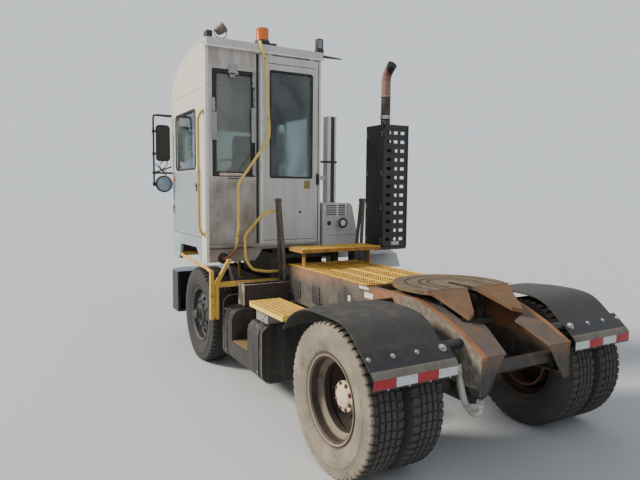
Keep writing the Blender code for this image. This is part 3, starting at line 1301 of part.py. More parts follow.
def make_cab(body, side_door_body, rear_door_body):
    x0, x1, z0, z1 = above_floor(SIDE_DOOR)
    opening = (x0 - DOOR_CLEAR, x1 + DOOR_CLEAR, z0 - DOOR_CLEAR, z1 + DOOR_CLEAR)
    rear = WALL + GAP
    skirt, right_skirt = SKIRT_Z - FLOOR_Z, RIGHT_SKIRT_Z - FLOOR_Z
    left_edge = ((rear, skirt),) + ARCH + ((1.520, -0.242),)
    right_edge = ((rear, right_skirt), (1.550, right_skirt))
    wall_left = fuse(side_wall(1, left_edge, opening), *hinge_leaves(1))
    middle = WALL / 2
    for name, piece, finish in (
            ("cab_floor", cab_floor(), "cab_white"), ("cab_wall_left", wall_left, "cab_white"),
            ("cab_wall_right", side_wall(-1, right_edge, above_floor(RIGHT_WINDOW)), "cab_white"),
            ("cab_wall_rear", rear_wall(), "cab_white"), ("cab_roof", cab_roof(), "cab_white"),
            ("cab_nose", cab_nose(), "cab_white"), ("windscreen", windscreen(), "glass"),
            ("glass_rear", pane_in("X", above_floor(REAR_WINDOW), CAB_X + middle), "glass"),
            ("glass_right", pane_in("Y", above_floor(RIGHT_WINDOW), CAB_RIGHT + middle), "glass"),
            ("seat", seat(), "seat"), ("dash", dash(), "black"), ("mirror_left", mirror(1), "black"),
            ("mirror_right", mirror(-1), "black"), ("beacon", beacon(), "amber"), ("work_lamp", work_lamp(),
                "black"),
            ("roof_bracket", roof_bracket(), "black"), ("grab_rail_rear", grab_rail_rear(), "yellow"),
            ("side_grab_bar", side_grab_bar(), "yellow"), ("duct", duct(), "cab_white")):
        node(name, piece, finish, body)
    node("door_side", side_door(), "cab_white", side_door_body)
    node("glass_door_side", pane_in("Y", above_floor(SIDE_WINDOW), CAB_LEFT - middle), "glass",
         side_door_body)
    node("door_rear", rear_door(), "cab_white", rear_door_body)
    x = CAB_X - REAR_DOOR_GAP - REAR_DOOR_T / 2
    node("glass_door_rear", pane_in("X", above_floor(REAR_DOOR_GLASS), x), "glass", rear_door_body)


# Boom and fifth wheel

def boom():
    """Two arms on the boom pivot, joined by a box under the fifth wheel, with eye lugs for the lift."""
    outline = [(BOOM_X + 0.060, BOOM_Z - 0.050), (BOOM_X + 0.060, BOOM_Z + 0.055), (0.420, BOOM_Z + 0.140),
               (FIFTH_X + 0.070, FIFTH_Z + 0.045), (FIFTH_X - 0.070, FIFTH_Z + 0.045),
               (FIFTH_X - 0.120, FIFTH_Z - 0.125),
               (-0.100, BOOM_Z + 0.020), (0.400, BOOM_Z - 0.020)]
    arms = []
    for side in (1, -1):
        low, high = span(side, BOOM_ARM_Y - BOOM_ARM_T, BOOM_ARM_Y)
        arms.append(cut(prism(outline, "Y", low, high),
                        rod_y(BOOM_X, BOOM_Z, low - 0.100, high + 0.100, BOOM_PIN_R + PIN_FIT, 24),
                        rod_y(FIFTH_X, FIFTH_Z, low - 0.100, high + 0.100, PIN_R + PIN_FIT, 24)))
    inside = BOOM_ARM_Y - BOOM_ARM_T / 2
    tie = box(0.300, 0.420, -inside, inside, BOOM_Z + 0.020, BOOM_Z + 0.100)
    x, z = LIFT_EYE_X, LIFT_EYE_Z
    head = box(x - 0.100, x - 0.060, -inside, inside, z - 0.055, z - 0.015)
    lug = [(x - 0.050, z - 0.035), (x + 0.050, z - 0.035), (x + 0.050, z + 0.015), (x + 0.030, z + 0.040),
           (x - 0.030, z + 0.040), (x - 0.090, z - 0.020)]
    lugs = []
    for side in (1, -1):
        for y in (LIFT_Y - EYE_HALF_W - 0.012, LIFT_Y + EYE_HALF_W + 0.002):
            lugs.append(prism(lug, "Y", *span(side, y, y + 0.010)))
    return fuse(arms[0], arms[1], tie, head, *lugs)


def fifth_wheel():
    """Turntable plate with its throat, open V and drooping horns, on ribs, pivot lugs and cross pins."""
    corners = 24
    start = math.radians(128)
    turns = [start - 2 * start * k / corners for k in range(corners + 1)]
    circle = [(PLATE_X + PLATE_R * math.cos(a), PLATE_R * math.sin(a)) for a in turns]
    throat = PLATE_X + 0.028
    mouth = PLATE_X - 0.210
    outline = circle + [(HORN_X, -HORN_Y), (HORN_IN_X, -HORN_IN_Y), (mouth, -THROAT_R), (PLATE_X, -THROAT_R),
                        (throat, -THROAT_R / 2), (throat, THROAT_R / 2), (PLATE_X, THROAT_R),
                        (mouth, THROAT_R), (HORN_IN_X, HORN_IN_Y), (HORN_X, HORN_Y)]
    low, tip = PLATE_TOP - PLATE_T, PLATE_TOP - HORN_DROP
    side_view = [(PLATE_X + 0.550, low), (PLATE_X + 0.550, PLATE_TOP), (HORN_KNEE_X, PLATE_TOP),
                 (HORN_X, tip), (HORN_X, tip - PLATE_T), (HORN_KNEE_X - 0.005, low)]
    plate = keep(prism(side_view, "Y", -0.600, 0.600), prism(outline, "Z", PLATE_TOP - 0.300,
        PLATE_TOP + 0.100))
    arm_in = BOOM_ARM_Y - BOOM_ARM_T
    under = []
    for side in (1, -1):
        lug = [(FIFTH_X - 0.045, FIFTH_Z - 0.030), (FIFTH_X + 0.045, FIFTH_Z - 0.030),
               (FIFTH_X + 0.080, PLATE_TOP - 0.010), (FIFTH_X - 0.080, PLATE_TOP - 0.010)]
        under.append(prism(lug, "Y", *span(side, arm_in - 0.041, arm_in - 0.001)))
        y0, y1 = span(side, arm_in - 0.010, BOOM_ARM_Y + 0.012)
        under.append(rod_y(FIFTH_X, FIFTH_Z, y0, y1, PIN_R, 12))
        rib = [(FIFTH_X - 0.200, low + SINK), (FIFTH_X - 0.150, low - 0.055), (FIFTH_X + 0.250, low - 0.055),
               (FIFTH_X + 0.330, low + SINK)]
        under.append(prism(rib, "Y", *span(side, 0.092, 0.104)))
    return fuse(plate, *under)


def lift_line(distance):
    """A point on the line from the cylinders' base pin towards the eye pin."""
    base = Vector((LIFT_BASE_X, 0, LIFT_BASE_Z))
    eye = Vector((LIFT_EYE_X, 0, LIFT_EYE_Z))
    return base + (eye - base).normalized() * distance


def lift_length():
    return math.hypot(LIFT_EYE_X - LIFT_BASE_X, LIFT_EYE_Z - LIFT_BASE_Z)


def lift_barrels():
    """Two cylinder barrels side by side, tied by a bar near their base eyes."""
    made = []
    for side in (1, -1):
        offset = Vector((0, side * LIFT_Y, 0))
        y0, y1 = side * LIFT_Y - 0.020, side * LIFT_Y + 0.020
        barrel = rod(lift_line(0.036) + offset, lift_line(BARREL_END) + offset, BARREL_R, 14)
        eye = rod_y(LIFT_BASE_X, LIFT_BASE_Z, y0, y1, EYE_R + 0.010, 14)
        bore = rod_y(LIFT_BASE_X, LIFT_BASE_Z, y0 - 0.100, y1 + 0.100, PIN_R + 0.001, 12)
        hole = rod(lift_line(0.110) + offset, lift_line(BARREL_END + 0.050) + offset, ROD_R + 0.001, 12)
        made.append(cut(fuse(barrel, eye), bore, hole))
    middle = lift_line(0.160)
    reach = Vector((0, LIFT_Y - BARREL_R + 0.004, 0))
    return fuse(made[0], made[1], tube([middle - reach, middle + reach], 0.014, 8))


def lift_rods():
    """Two piston rods with their eyes, tied by a bar behind the eyes."""
    made = []
    for side in (1, -1):
        offset = Vector((0, side * LIFT_Y, 0))
        made.append(rod(lift_line(0.130) + offset, lift_line(lift_length()) + offset, ROD_R, 12))
        y0, y1 = side * LIFT_Y - EYE_HALF_W, side * LIFT_Y + EYE_HALF_W
        made.append(rod_y(LIFT_EYE_X, LIFT_EYE_Z, y0, y1, EYE_R - 0.006, 12))
    bar = lift_line(lift_length() - 0.100)
    reach = Vector((0, LIFT_Y, 0))
    made.append(tube([bar - reach, bar + reach], 0.012, 8))
    return fuse(made[0], *made[1:])


def make_bodies():
    """The empties: one on each moving body's joint."""
    vehicle = empty("vehicle", (0, 0, 0))
    vehicle.location = (-ORIGIN_AHEAD, -ORIGIN_LEFT, 0)
    bodies = {"chassis": vehicle}
    twin_y = REAR_OUTER_Y - DUAL_PITCH / 2
    table = (  # body, parent, x, y, z
        ("cab", "chassis", TILT_X, (CAB_LEFT + CAB_RIGHT) / 2, TILT_Z),
        ("door_side_body", "cab", hinge_x(), CAB_LEFT + HINGE_OUT, FLOOR_Z + SIDE_DOOR[2]),
        ("door_rear_body", "cab", CAB_X, REAR_DOOR[0], FLOOR_Z + REAR_DOOR[2]),
        ("knuckle_left_body", "chassis", FRONT_X, KINGPIN_Y, AXLE_Z),
        ("knuckle_right_body", "chassis", FRONT_X, -KINGPIN_Y, AXLE_Z),
        ("tie_rod_body", "knuckle_left_body", FRONT_X - STEER_ARM, KINGPIN_Y, AXLE_Z - EYE_HALF_H - EAR_T),
        ("wheel_front_left", "knuckle_left_body", FRONT_X, FRONT_Y, AXLE_Z),
        ("wheel_front_right", "knuckle_right_body", FRONT_X, -FRONT_Y, AXLE_Z),
        ("wheels_rear_left", "chassis", 0, twin_y, AXLE_Z),
        ("wheels_rear_right", "chassis", 0, -twin_y, AXLE_Z),
        ("boom_body", "chassis", BOOM_X, 0, BOOM_Z),
        ("fifth_wheel_body", "boom_body", FIFTH_X, 0, FIFTH_Z),
        ("lift_barrels_body", "chassis", LIFT_BASE_X, 0, LIFT_BASE_Z),
        ("lift_rods_body", "lift_barrels_body", LIFT_EYE_X, 0, LIFT_EYE_Z))
    for name, parent, x, y, z in table:
        bodies[name] = empty(name, (x, y, z), bodies[parent])
    return bodies


def main():
    clear_scene()
    bodies = make_bodies()
    make_chassis(bodies["chassis"])
    make_cab(bodies["cab"], bodies["door_side_body"], bodies["door_rear_body"])
    node("knuckle_left", knuckle(1), "chassis", bodies["knuckle_left_body"])
    node("knuckle_right", knuckle(-1), "chassis", bodies["knuckle_right_body"])
    node("tie_rod", tie_rod(), "chassis", bodies["tie_rod_body"])
    make_wheels(bodies)
    node("boom", boom(), "rust", bodies["boom_body"])
    node("fifth_wheel", fifth_wheel(), "rust", bodies["fifth_wheel_body"])
    node("lift_barrels", lift_barrels(), "black", bodies["lift_barrels_body"])
    node("lift_rods", lift_rods(), "steel", bodies["lift_rods_body"])


main()
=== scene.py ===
"""Looks of the terminal tractor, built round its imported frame.

Places are written in the vehicle frame of the part: X forward from the rear axle, Y to the left
of the frame's centre line, Z up from the ground. The function at() moves them to the model's frame.
"""
import math
import random

import bmesh
import bpy
from mathutils import Matrix, Vector


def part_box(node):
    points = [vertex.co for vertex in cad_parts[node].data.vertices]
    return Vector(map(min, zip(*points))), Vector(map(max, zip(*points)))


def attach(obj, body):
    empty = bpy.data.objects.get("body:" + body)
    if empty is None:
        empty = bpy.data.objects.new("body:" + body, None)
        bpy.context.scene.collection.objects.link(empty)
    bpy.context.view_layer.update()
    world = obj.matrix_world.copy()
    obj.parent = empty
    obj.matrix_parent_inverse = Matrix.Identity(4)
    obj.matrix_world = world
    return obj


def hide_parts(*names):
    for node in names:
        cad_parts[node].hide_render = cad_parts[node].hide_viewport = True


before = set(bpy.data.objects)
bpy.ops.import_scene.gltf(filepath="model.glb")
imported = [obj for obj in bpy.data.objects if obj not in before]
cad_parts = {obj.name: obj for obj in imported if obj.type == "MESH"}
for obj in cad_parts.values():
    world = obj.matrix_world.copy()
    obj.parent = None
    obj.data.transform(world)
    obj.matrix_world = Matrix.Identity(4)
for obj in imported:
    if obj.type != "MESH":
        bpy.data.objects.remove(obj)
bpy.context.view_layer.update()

# The vehicle frame
REAR_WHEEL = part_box("tyre_rear_left_outer")
AHEAD = -(REAR_WHEEL[0].x + REAR_WHEEL[1].x) / 2     # the rear axle is at x = 0
LEFT = 0.11
TYRE_R = 0.525
WHEELBASE = 2.946
CAB_X = 2.5
CAB_LEFT, CAB_RIGHT = 1.22, -0.13
FRAME_OUT = 0.43

# Camera, fitted to the photograph
FOCAL_PX = 560.24
IMAGE_W = 640
SENSOR = 36.0
CAMERA_AT = (-3.151, 3.045, 1.928)
CAMERA_YAW = 29.38      # degrees to the right of straight ahead
CAMERA_DOWN = 5.114
CAMERA_ROLL = 0.466


def at(x, y, z):
    """A vehicle-frame place in the model's frame."""
    return Vector((x - AHEAD, y - LEFT, z))


def corners(name):
    """A CAD node's low and high corners in the vehicle frame."""
    return [(corner.x + AHEAD, corner.y + LEFT, corner.z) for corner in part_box(name)]


def put(name, data):
    """A new object in the scene."""
    made = bpy.data.objects.new(name, data)
    bpy.context.scene.collection.objects.link(made)
    return made


SIDES = (("left", 1), ("right", -1))
FINISHES = {}            # materials by name, filled by make_finishes()


# Camera, lights and floor

def add_camera():
    yaw, down, roll = (math.radians(a) for a in (CAMERA_YAW, CAMERA_DOWN, CAMERA_ROLL))
    ahead = Vector((math.cos(yaw), -math.sin(yaw), 0))
    level = Vector((-math.sin(yaw), -math.cos(yaw), 0))
    sight = ahead * math.cos(down) - Vector((0, 0, math.sin(down)))
    up = ahead * math.sin(down) + Vector((0, 0, math.cos(down)))
    right = level * math.cos(roll) + up * math.sin(roll)
    top = up * math.cos(roll) - level * math.sin(roll)
    data = bpy.data.cameras.new("camera")
    data.sensor_width = SENSOR
    data.lens = FOCAL_PX * SENSOR / IMAGE_W
    camera = put("camera", data)
    turn = Matrix((right, top, -sight)).transposed().to_4x4()
    camera.matrix_world = Matrix.Translation(at(*CAMERA_AT)) @ turn
    bpy.context.scene.camera = camera


def add_sun(name, towards, strength, angle, colour):
    """A distant soft lamp that shines along a direction."""
    data = bpy.data.lights.new(name, "SUN")
    data.energy = strength
    data.angle = angle
    data.color = colour
    put(name, data).rotation_euler = Vector(towards).to_track_quat("-Z", "Y").to_euler()


def backdrop_mix(tree, lit, shown):
    """Link lit for lighting and shown for what the camera, gloss and glass see."""
    paths = tree.nodes.new("ShaderNodeLightPath")
    kinds = [paths.outputs[k] for k in ("Is Camera Ray", "Is Glossy Ray", "Is Transmission Ray")]
    seen = kinds[0]
    for kind in kinds[1:]:
        both = tree.nodes.new("ShaderNodeMath")
        both.operation = "MAXIMUM"
        tree.links.new(seen, both.inputs[0])
        tree.links.new(kind, both.inputs[1])
        seen = both.outputs[0]
    mixed = tree.nodes.new("ShaderNodeMixShader")
    tree.links.new(seen, mixed.inputs[0])
    tree.links.new(lit.outputs[0], mixed.inputs[1])
    tree.links.new(shown.outputs[0], mixed.inputs[2])
    return mixed


def add_world():
    world = bpy.data.worlds.new("studio")
    bpy.context.scene.world = world
    world.use_nodes = True
    tree = world.node_tree
    lit = tree.nodes["Background"]
    lit.inputs["Color"].default_value = (0.86, 0.92, 1.0, 1)
    lit.inputs["Strength"].default_value = 0.47
    shown = tree.nodes.new("ShaderNodeBackground")
    shown.inputs["Color"].default_value = (0.8, 0.85, 0.9, 1)
    shown.inputs["Strength"].default_value = 1.0
    mixed = backdrop_mix(tree, lit, shown)
    tree.links.new(mixed.outputs[0], tree.nodes["World Output"].inputs["Surface"])


def add_floor():
    size = 60.0
    mesh = bpy.data.meshes.new("floor")
    mesh.from_pydata([(-size, -size, 0), (size, -size, 0), (size, size, 0), (-size, size, 0)], [],
                     [(0, 1, 2, 3)])
    Shader("floor", 0.9).finish((0.62, 0.63, 0.64))
    mesh.materials.append(FINISHES["floor"])
    put("floor", mesh)


# Materials

class Shader:
    """A material's nodes, written in short calls. Masks are 0 to 1."""

    def __init__(self, name, rough=0.5, metallic=0.0):
        self.name = name
        self.material = bpy.data.materials.new(name)
        self.material.use_nodes = True
        self.tree = self.material.node_tree
        self.shader = self.tree.nodes["Principled BSDF"]
        self.shader.inputs["Roughness"].default_value = rough
        self.shader.inputs["Metallic"].default_value = metallic
        self.place = self.add("TexCoord").outputs["Object"]

    def add(self, kind, inputs=()):
        """A new node, with constants or other nodes' outputs in its inputs by name or number."""
        made = self.tree.nodes.new("ShaderNode" + kind)
        for socket, value in dict(inputs).items():
            self.feed(value, made.inputs[socket])
        return made

    def feed(self, value, socket):
        """Put a constant or another node's output into a socket."""
        if isinstance(value, bpy.types.NodeSocket):
            self.tree.links.new(value, socket)
        else:
            socket.default_value = (*value, 1) if socket.type == "RGBA" else value

    def noise(self, scale, detail=4.0, stretch=(1, 1, 1)):
        place = self.add("Mapping", {"Scale": stretch, "Vector": self.place}).outputs["Vector"]
        return self.add("TexNoise", {"Scale": scale, "Detail": detail, "Vector": place}).outputs["Fac"]

    def ramp(self, value, low, high):
        """0 at low and 1 at high."""
        return self.add("MapRange", {"From Min": low, "From Max": high, "Value": value}).outputs["Result"]

    def cloud(self, low, high, scale, detail=4.0, stretch=(1, 1, 1)):
        """Patches of noise: 0 where it is at low and 1 where it is at high."""
        return self.ramp(self.noise(scale, detail, stretch), low, high)

    def maths(self, kind, first, second=0.0):
        made = self.add("Math", {0: first, 1: second})
        made.operation = kind
        return made.outputs[0]

    def most(self, first, second):
        return self.maths("MAXIMUM", first, second)

    def times(self, first, *others):
        for other in others:
            first = self.maths("MULTIPLY", first, other)
        return first

    def mix(self, mask, first, second):
        made = self.add("Mix")
        made.data_type = "RGBA"
        self.feed(mask, made.inputs["Factor"])
        self.feed(first, made.inputs["A"])
        self.feed(second, made.inputs["B"])
        return made.outputs["Result"]

    def along(self, axis):
        """The vehicle-frame coordinate on an axis."""
        parts = self.add("SeparateXYZ", {0: self.place})
        return self.maths("ADD", parts.outputs[axis], {"X": AHEAD, "Y": LEFT, "Z": 0.0}[axis])

    def past(self, axis, level, soft=0.02):
        """1 beyond a level on an axis."""
        return self.ramp(self.along(axis), level - soft, level + soft)

    def before(self, axis, level, soft=0.02):
        return self.ramp(self.along(axis), level + soft, level - soft)

    def between(self, axis, low, high, soft=0.02):
        return self.times(self.past(axis, low, soft), self.before(axis, high, soft))

    def outward(self):
        """Distance from the frame's centre line."""
        return self.maths("ABSOLUTE", self.along("Y"))

    def edges(self, width=0.008):
        """1 along the convex and concave edges of the mesh."""
        bevel = self.add("Bevel", {"Radius": width})
        bevel.samples = 4
        true = self.add("NewGeometry")
        dot = self.add("VectorMath", {0: bevel.outputs["Normal"], 1: true.outputs["Normal"]})
        dot.operation = "DOT_PRODUCT"
        return self.ramp(dot.outputs["Value"], 0.99, 0.86)

    def bump(self, height, strength, distance=0.003):
        made = self.add("Bump", {"Strength": strength, "Distance": distance, "Height": height})
        self.tree.links.new(made.outputs["Normal"], self.shader.inputs["Normal"])

    def finish(self, colour, rough=None):
        """Set the colour and list the material under its name."""
        self.feed(colour, self.shader.inputs["Base Color"])
        if rough is not None:
            self.feed(rough, self.shader.inputs["Roughness"])
        FINISHES[self.name] = self.material


def shade(colour, factor):
    return tuple(min(1.0, c * factor) for c in colour)


def worn(name, colour, grime, rough=0.5, metallic=0.0, tone=0.12, streaks=0.4, spots=0.3, wear=0.0,
         bare=(0.16, 0.09, 0.05), grain=60.0, lumps=0.15, extra=None):
    """Painted or plain metal: uneven tone, dirty streaks, grime spots, and wear on edges down to bare."""
    s = Shader(name, rough, metallic)
    paint = s.mix(s.noise(3.0), shade(colour, 1 - tone), shade(colour, 1 + tone))
    run = s.times(s.cloud(0.48, 0.72, 1.6, 6.0, (7, 7, 0.7)), streaks)
    spot = s.times(s.cloud(0.52, 0.7, 9.0, 8.0), spots)
    dirty = s.most(run, spot)
    paint = s.mix(dirty, paint, grime)
    if wear:
        rubbed = s.times(s.edges(), s.ramp(s.noise(13.0, 5.0), 0.62 - wear * 0.3, 0.66))
        chips = s.ramp(s.noise(21.0, 7.0), 0.72 - wear * 0.16, 0.76 - wear * 0.16)
        paint = s.mix(s.most(rubbed, chips), paint, bare)
    if extra:
        paint = extra(s, paint)
    s.bump(s.noise(grain, 3.0), lumps)
    s.finish(paint, s.maths("ADD", s.times(dirty, 0.35), rough))


def cab_paint(name, colour=(0.6, 0.6, 0.58), extra=None):
    """Cab paint, dark on the faces inside the cab."""
    def inside(s, paint):
        paint = extra(s, paint) if extra else paint
        turned_in = s.times(s.most(s.maths("SUBTRACT", s.along("X"), 3.8), 0.0), 0.25)
        low_front = s.times(s.before("X", 4.17, 0.01), s.before("Z", 1.45, 0.01))
        walls = (s.past("X", 2.535, 0.002), s.most(s.before("X", 4.0, 0.05), low_front),
                 s.past("Y", -0.105, 0.002), s.ramp(s.maths("ADD", s.along("Y"), turned_in), 1.197, 1.193),
                 s.between("Z", 1.05, 3.36, 0.002))
        return s.mix(s.times(*walls), paint, (0.15, 0.145, 0.14))
    worn(name, colour, (0.27, 0.21, 0.15), rough=0.42, tone=0.05, streaks=0.22, spots=0.1, grain=90.0,
         lumps=0.05, extra=inside)


def rear_wall_grime(s, paint):
    """Brown, speckled grime on the left panel below the window, and a dirty skirt."""
    panel = s.times(s.past("Y", 0.66), s.before("Z", 2.03, 0.05))
    mottled = s.mix(s.cloud(0.35, 0.65, 7.0, 8.0), (0.38, 0.31, 0.26), (0.2, 0.145, 0.11))
    paint = s.mix(s.times(panel, s.cloud(0.22, 0.5, 2.2, 6.0, (2, 2, 0.8)), 0.85), paint, mottled)
    specks = s.times(panel, s.cloud(0.66, 0.7, 75.0, 2.0))
    paint = s.mix(specks, paint, (0.1, 0.06, 0.045))
    over = s.times(s.past("Y", 0.66), s.past("Z", 3.17, 0.06), s.cloud(0.4, 0.62, 4.0, 6.0, (3, 3, 0.6)))
    paint = s.mix(s.times(over, 0.55), paint, (0.26, 0.19, 0.12))
    skirt = s.times(s.before("Z", 1.34, 0.015), s.cloud(0.25, 0.6, 5.0, 6.0))
    return s.mix(s.times(skirt, 0.8), paint, (0.24, 0.19, 0.15))


def side_wall_shadow_and_paint(s, paint):
    """Painted cast shadow: blue-grey on the door panel below the window. Faded green paint at the front
    corner and foot of the side.
    """
    # Painted cast shadow on the lower door panel.
    panel = s.times(s.past("Y", 1.1), s.past("X", 2.66, 0.01), s.before("Z", 2.13, 0.02))
    paint = s.mix(s.times(panel, 0.85), paint, (0.25, 0.31, 0.36))
    front = s.most(s.past("X", 3.86, 0.03), s.times(s.past("X", 3.45, 0.1), s.before("Z", 1.42, 0.04)))
    paint = s.mix(s.times(front, 0.75), paint, (0.36, 0.55, 0.46))
    rash = s.times(s.past("X", 3.5, 0.05), s.before("Z", 1.62, 0.05), s.cloud(0.6, 0.64, 40.0, 3.0))
    return s.mix(rash, paint, (0.04, 0.04, 0.045))


def frame_rust(s, paint):
    """Rust on the ramps and the top edge, dried mud on the sides and a pale hook."""
    tail = s.before("X", 0.62, 0.12)
    high = s.times(s.past("Z", 1.085, 0.02), s.before("Z", 1.15, 0.01), s.cloud(0.3, 0.6, 6.0, 6.0))
    ramps = s.times(tail, s.past("Z", 0.8, 0.05), s.cloud(0.28, 0.52, 5.0, 8.0))
    rust = s.mix(s.noise(18.0, 8.0), (0.125, 0.072, 0.043), (0.225, 0.13, 0.078))
    paint = s.mix(s.times(s.most(high, ramps), 0.92), paint, rust)
    scratch = s.times(tail, s.past("Z", 0.86, 0.03), s.cloud(0.56, 0.62, 4.0, 5.0, (1, 14, 1)))
    paint = s.mix(s.times(scratch, 0.8), paint, (0.085, 0.075, 0.07))
    outside = s.outward()
    edge = s.times(tail, s.past("Z", 0.845, 0.01), s.ramp(outside, 0.375, 0.395))
    paint = s.mix(s.times(edge, s.cloud(0.72, 0.5, 9.0, 6.0)), paint, (0.34, 0.145, 0.062))
    scuff = s.times(s.before("X", 0.1, 0.15), s.past("Z", 0.82, 0.03), s.ramp(outside, 0.365, 0.345),
                    s.cloud(0.4, 0.55, 5.0, 7.0, (1, 6, 1)))
    paint = s.mix(s.times(scuff, 0.75), paint, (0.115, 0.105, 0.098))
    flank = s.times(s.before("X", 0.3, 0.15), s.ramp(outside, 0.4285, 0.4295))
    mud = s.mix(s.cloud(0.4, 0.6, 24.0, 7.0), (0.135, 0.125, 0.102), (0.235, 0.215, 0.175))
    paint = s.mix(s.times(flank, 0.88), paint, mud)
    posts = s.times(s.past("Z", 1.16, 0.01), s.between("X", 2.0, 2.4, 0.01))
    worn_posts = s.mix(s.cloud(0.35, 0.65, 5.0, 6.0, (5, 5, 0.8)), (0.15, 0.13, 0.11), (0.06, 0.05, 0.042))
    paint = s.mix(posts, paint, worn_posts)
    side = s.times(s.past("X", 0.7, 0.2), s.before("X", 2.1, 0.1), s.cloud(0.4, 0.62, 3.0, 8.0))
    paint = s.mix(s.times(side, 0.7), paint, (0.21, 0.175, 0.14))
    shoulder = s.times(s.past("X", 1.25, 0.15), s.before("X", 2.08, 0.03), s.past("Z", 1.045, 0.05),
                       s.cloud(0.3, 0.58, 5.0, 6.0))
    paint = s.mix(s.times(shoulder, 0.85), paint, (0.33, 0.175, 0.095))
    tray = s.times(s.between("X", 2.125, 2.3, 0.002), s.past("Z", 0.737, 0.002),
                   s.before("Z", 0.958, 0.002), s.past("Y", 0.44, 0.004))
    paint = s.mix(tray, paint, (0.06, 0.04, 0.03))
    # Darker inside the tray; pale patches on its outer and top faces are a painted highlight.
    lit = s.most(s.past("Y", 0.949, 0.0005), s.past("Z", 0.9535, 0.0005))
    paint = s.mix(s.times(tray, lit, s.cloud(0.72, 0.42, 22.0, 6.0)), paint, (0.46, 0.37, 0.3))
    hook = s.times(s.before("X", -0.4, 0.01), s.before("Z", 0.79, 0.01), s.past("Y", 0.431, 0.001))
    return s.mix(s.times(hook, s.cloud(0.72, 0.5, 20.0, 5.0)), paint, (0.52, 0.5, 0.46))


def stack_heat(s, paint):
    """Brown bare pipe above, black soot at the tip."""
    paint = s.mix(s.times(s.past("Z", 3.02, 0.02), 0.9), paint, (0.3, 0.17, 0.13))
    return s.mix(s.before("X", 2.235, 0.02), paint, (0.03, 0.03, 0.03))


def glass(name, tint, haze=0.0):
    """Dusty window glass: mostly clear, with a thin layer of dirt."""
    s = Shader(name, 0.03)
    dust = s.cloud(0.42, 0.8, 2.4, 7.0, (1, 1, 0.7))
    s.shader.inputs["IOR"].default_value = 1.45
    clear = s.maths("SUBTRACT", 1.0 - haze, s.times(dust, 0.35))
    s.feed(clear, s.shader.inputs["Transmission Weight"])
    s.finish(s.mix(dust, tint, (0.4, 0.4, 0.36)), s.ramp(dust, -0.1, 2.2))


def rail_foot(s, paint):
    """Red-brown primer low on the rear rail."""
    return s.mix(s.before("Z", 1.33, 0.04), paint, (0.27, 0.1, 0.055))


def plate_rust(s, paint):
    """Orange rust on the horns and in patches of the turntable plate."""
    patches = s.times(s.cloud(0.52, 0.68, 3.0, 6.0), 0.35)
    tips = s.times(s.before("X", -0.04, 0.04), s.cloud(0.7, 0.45, 12.0, 6.0), 0.85)
    paint = s.mix(s.most(patches, tips), paint, (0.24, 0.115, 0.055))
    slot = s.times(s.ramp(s.outward(), 0.17, 0.15), s.before("Z", 1.205, 0.0005), s.past("X", -0.06, 0.004))
    return s.mix(slot, paint, (0.018, 0.014, 0.011))


def plank_stripes(s, paint):
    """Brown-orange along the step plank's grooves, and a dusty grey foot under it."""
    ribs = s.maths("FRACT", s.maths("DIVIDE", s.maths("SUBTRACT", s.along("Y"), 0.8), 0.0517))
    near = s.ramp(s.maths("ABSOLUTE", s.maths("SUBTRACT", ribs, 0.5)), 0.2, 0.28)
    top = s.times(near, s.between("X", 0.925, 1.575, 0.004), s.past("Z", 0.89, 0.002))
    paint = s.mix(s.times(top, 0.9), paint, (0.5, 0.23, 0.05))
    return s.mix(s.before("Z", 0.857, 0.001), paint, (0.27, 0.26, 0.24))


def bumper_top_sky_reflection(s, paint):
    """Pale blue painted sky reflection on the step along the bumper's top."""
    # Painted sky reflection on the top face.
    return s.mix(s.times(s.past("Z", 0.8585, 0.0005), 0.8), paint, (0.17, 0.2, 0.29))


def rim_lip(s, paint):
    """Rust-brown lip and one light band on the wheel's outer side."""
    out = s.outward()
    paint = s.mix(s.ramp(out, 1.1865, 1.1885), paint, (0.3, 0.21, 0.15))
    band = s.times(s.ramp(out, 1.085, 1.095), s.ramp(out, 1.135, 1.12), s.cloud(0.35, 0.6, 4.0, 5.0))
    return s.mix(band, paint, (0.24, 0.19, 0.14))


def tyre_rubber(name, dust_colour, amount, wall=None):
    """Rubber with dried mud and dust, less towards the front, where the darker rubber is partly painted
    shade. The side wall is pale beyond wall, a distance from the centre line: dust, brightened as painted
    sunlight.
    """
    s = Shader(name, 0.85)
    rubber = s.mix(s.noise(12.0, 5.0), (0.02, 0.02, 0.022), (0.04, 0.039, 0.038))
    patchy = s.cloud(0.3, 0.72, 3.5, 6.0)
    fine = s.cloud(0.1, 0.9, 45.0, 4.0)
    deep = s.ramp(s.edges(0.01), 1.0, 0.2)
    cover = s.maths("ADD", s.times(patchy, 0.45), s.times(fine, 0.55))
    # Dust fades towards the front: the darker front tyres are partly cleaner rubber, partly painted shade.
    rear_dust_front_shade = s.ramp(s.along("X"), 3.4, 0.8)
    colour = s.mix(s.times(cover, deep, amount, rear_dust_front_shade), rubber, dust_colour)
    if wall:
        # Pale side wall: dust, brightened as painted sunlight.
        side = s.ramp(s.outward(), wall - 0.012, wall)
        pale = s.mix(s.cloud(0.3, 0.7, 6.0, 7.0), (0.31, 0.265, 0.195), (0.17, 0.145, 0.11))
        colour = s.mix(s.times(side, s.ramp(cover, 0.05, 0.45)), colour, pale)
    s.bump(s.noise(140.0, 3.0), 0.25)
    s.finish(colour)


def clear_plastic(name, colour, through=0.6):
    s = Shader(name, 0.15)
    s.shader.inputs["Transmission Weight"].default_value = through
    s.finish(s.mix(s.noise(20.0), shade(colour, 0.8), colour))


def flat_print(name, colour, grime=0.25):
    """A label, stripe or patch of tape, slightly dirty."""
    s = Shader(name, 0.45)
    s.finish(s.mix(s.times(s.cloud(0.5, 0.7, 25.0, 6.0), grime), colour, (0.12, 0.1, 0.08)))


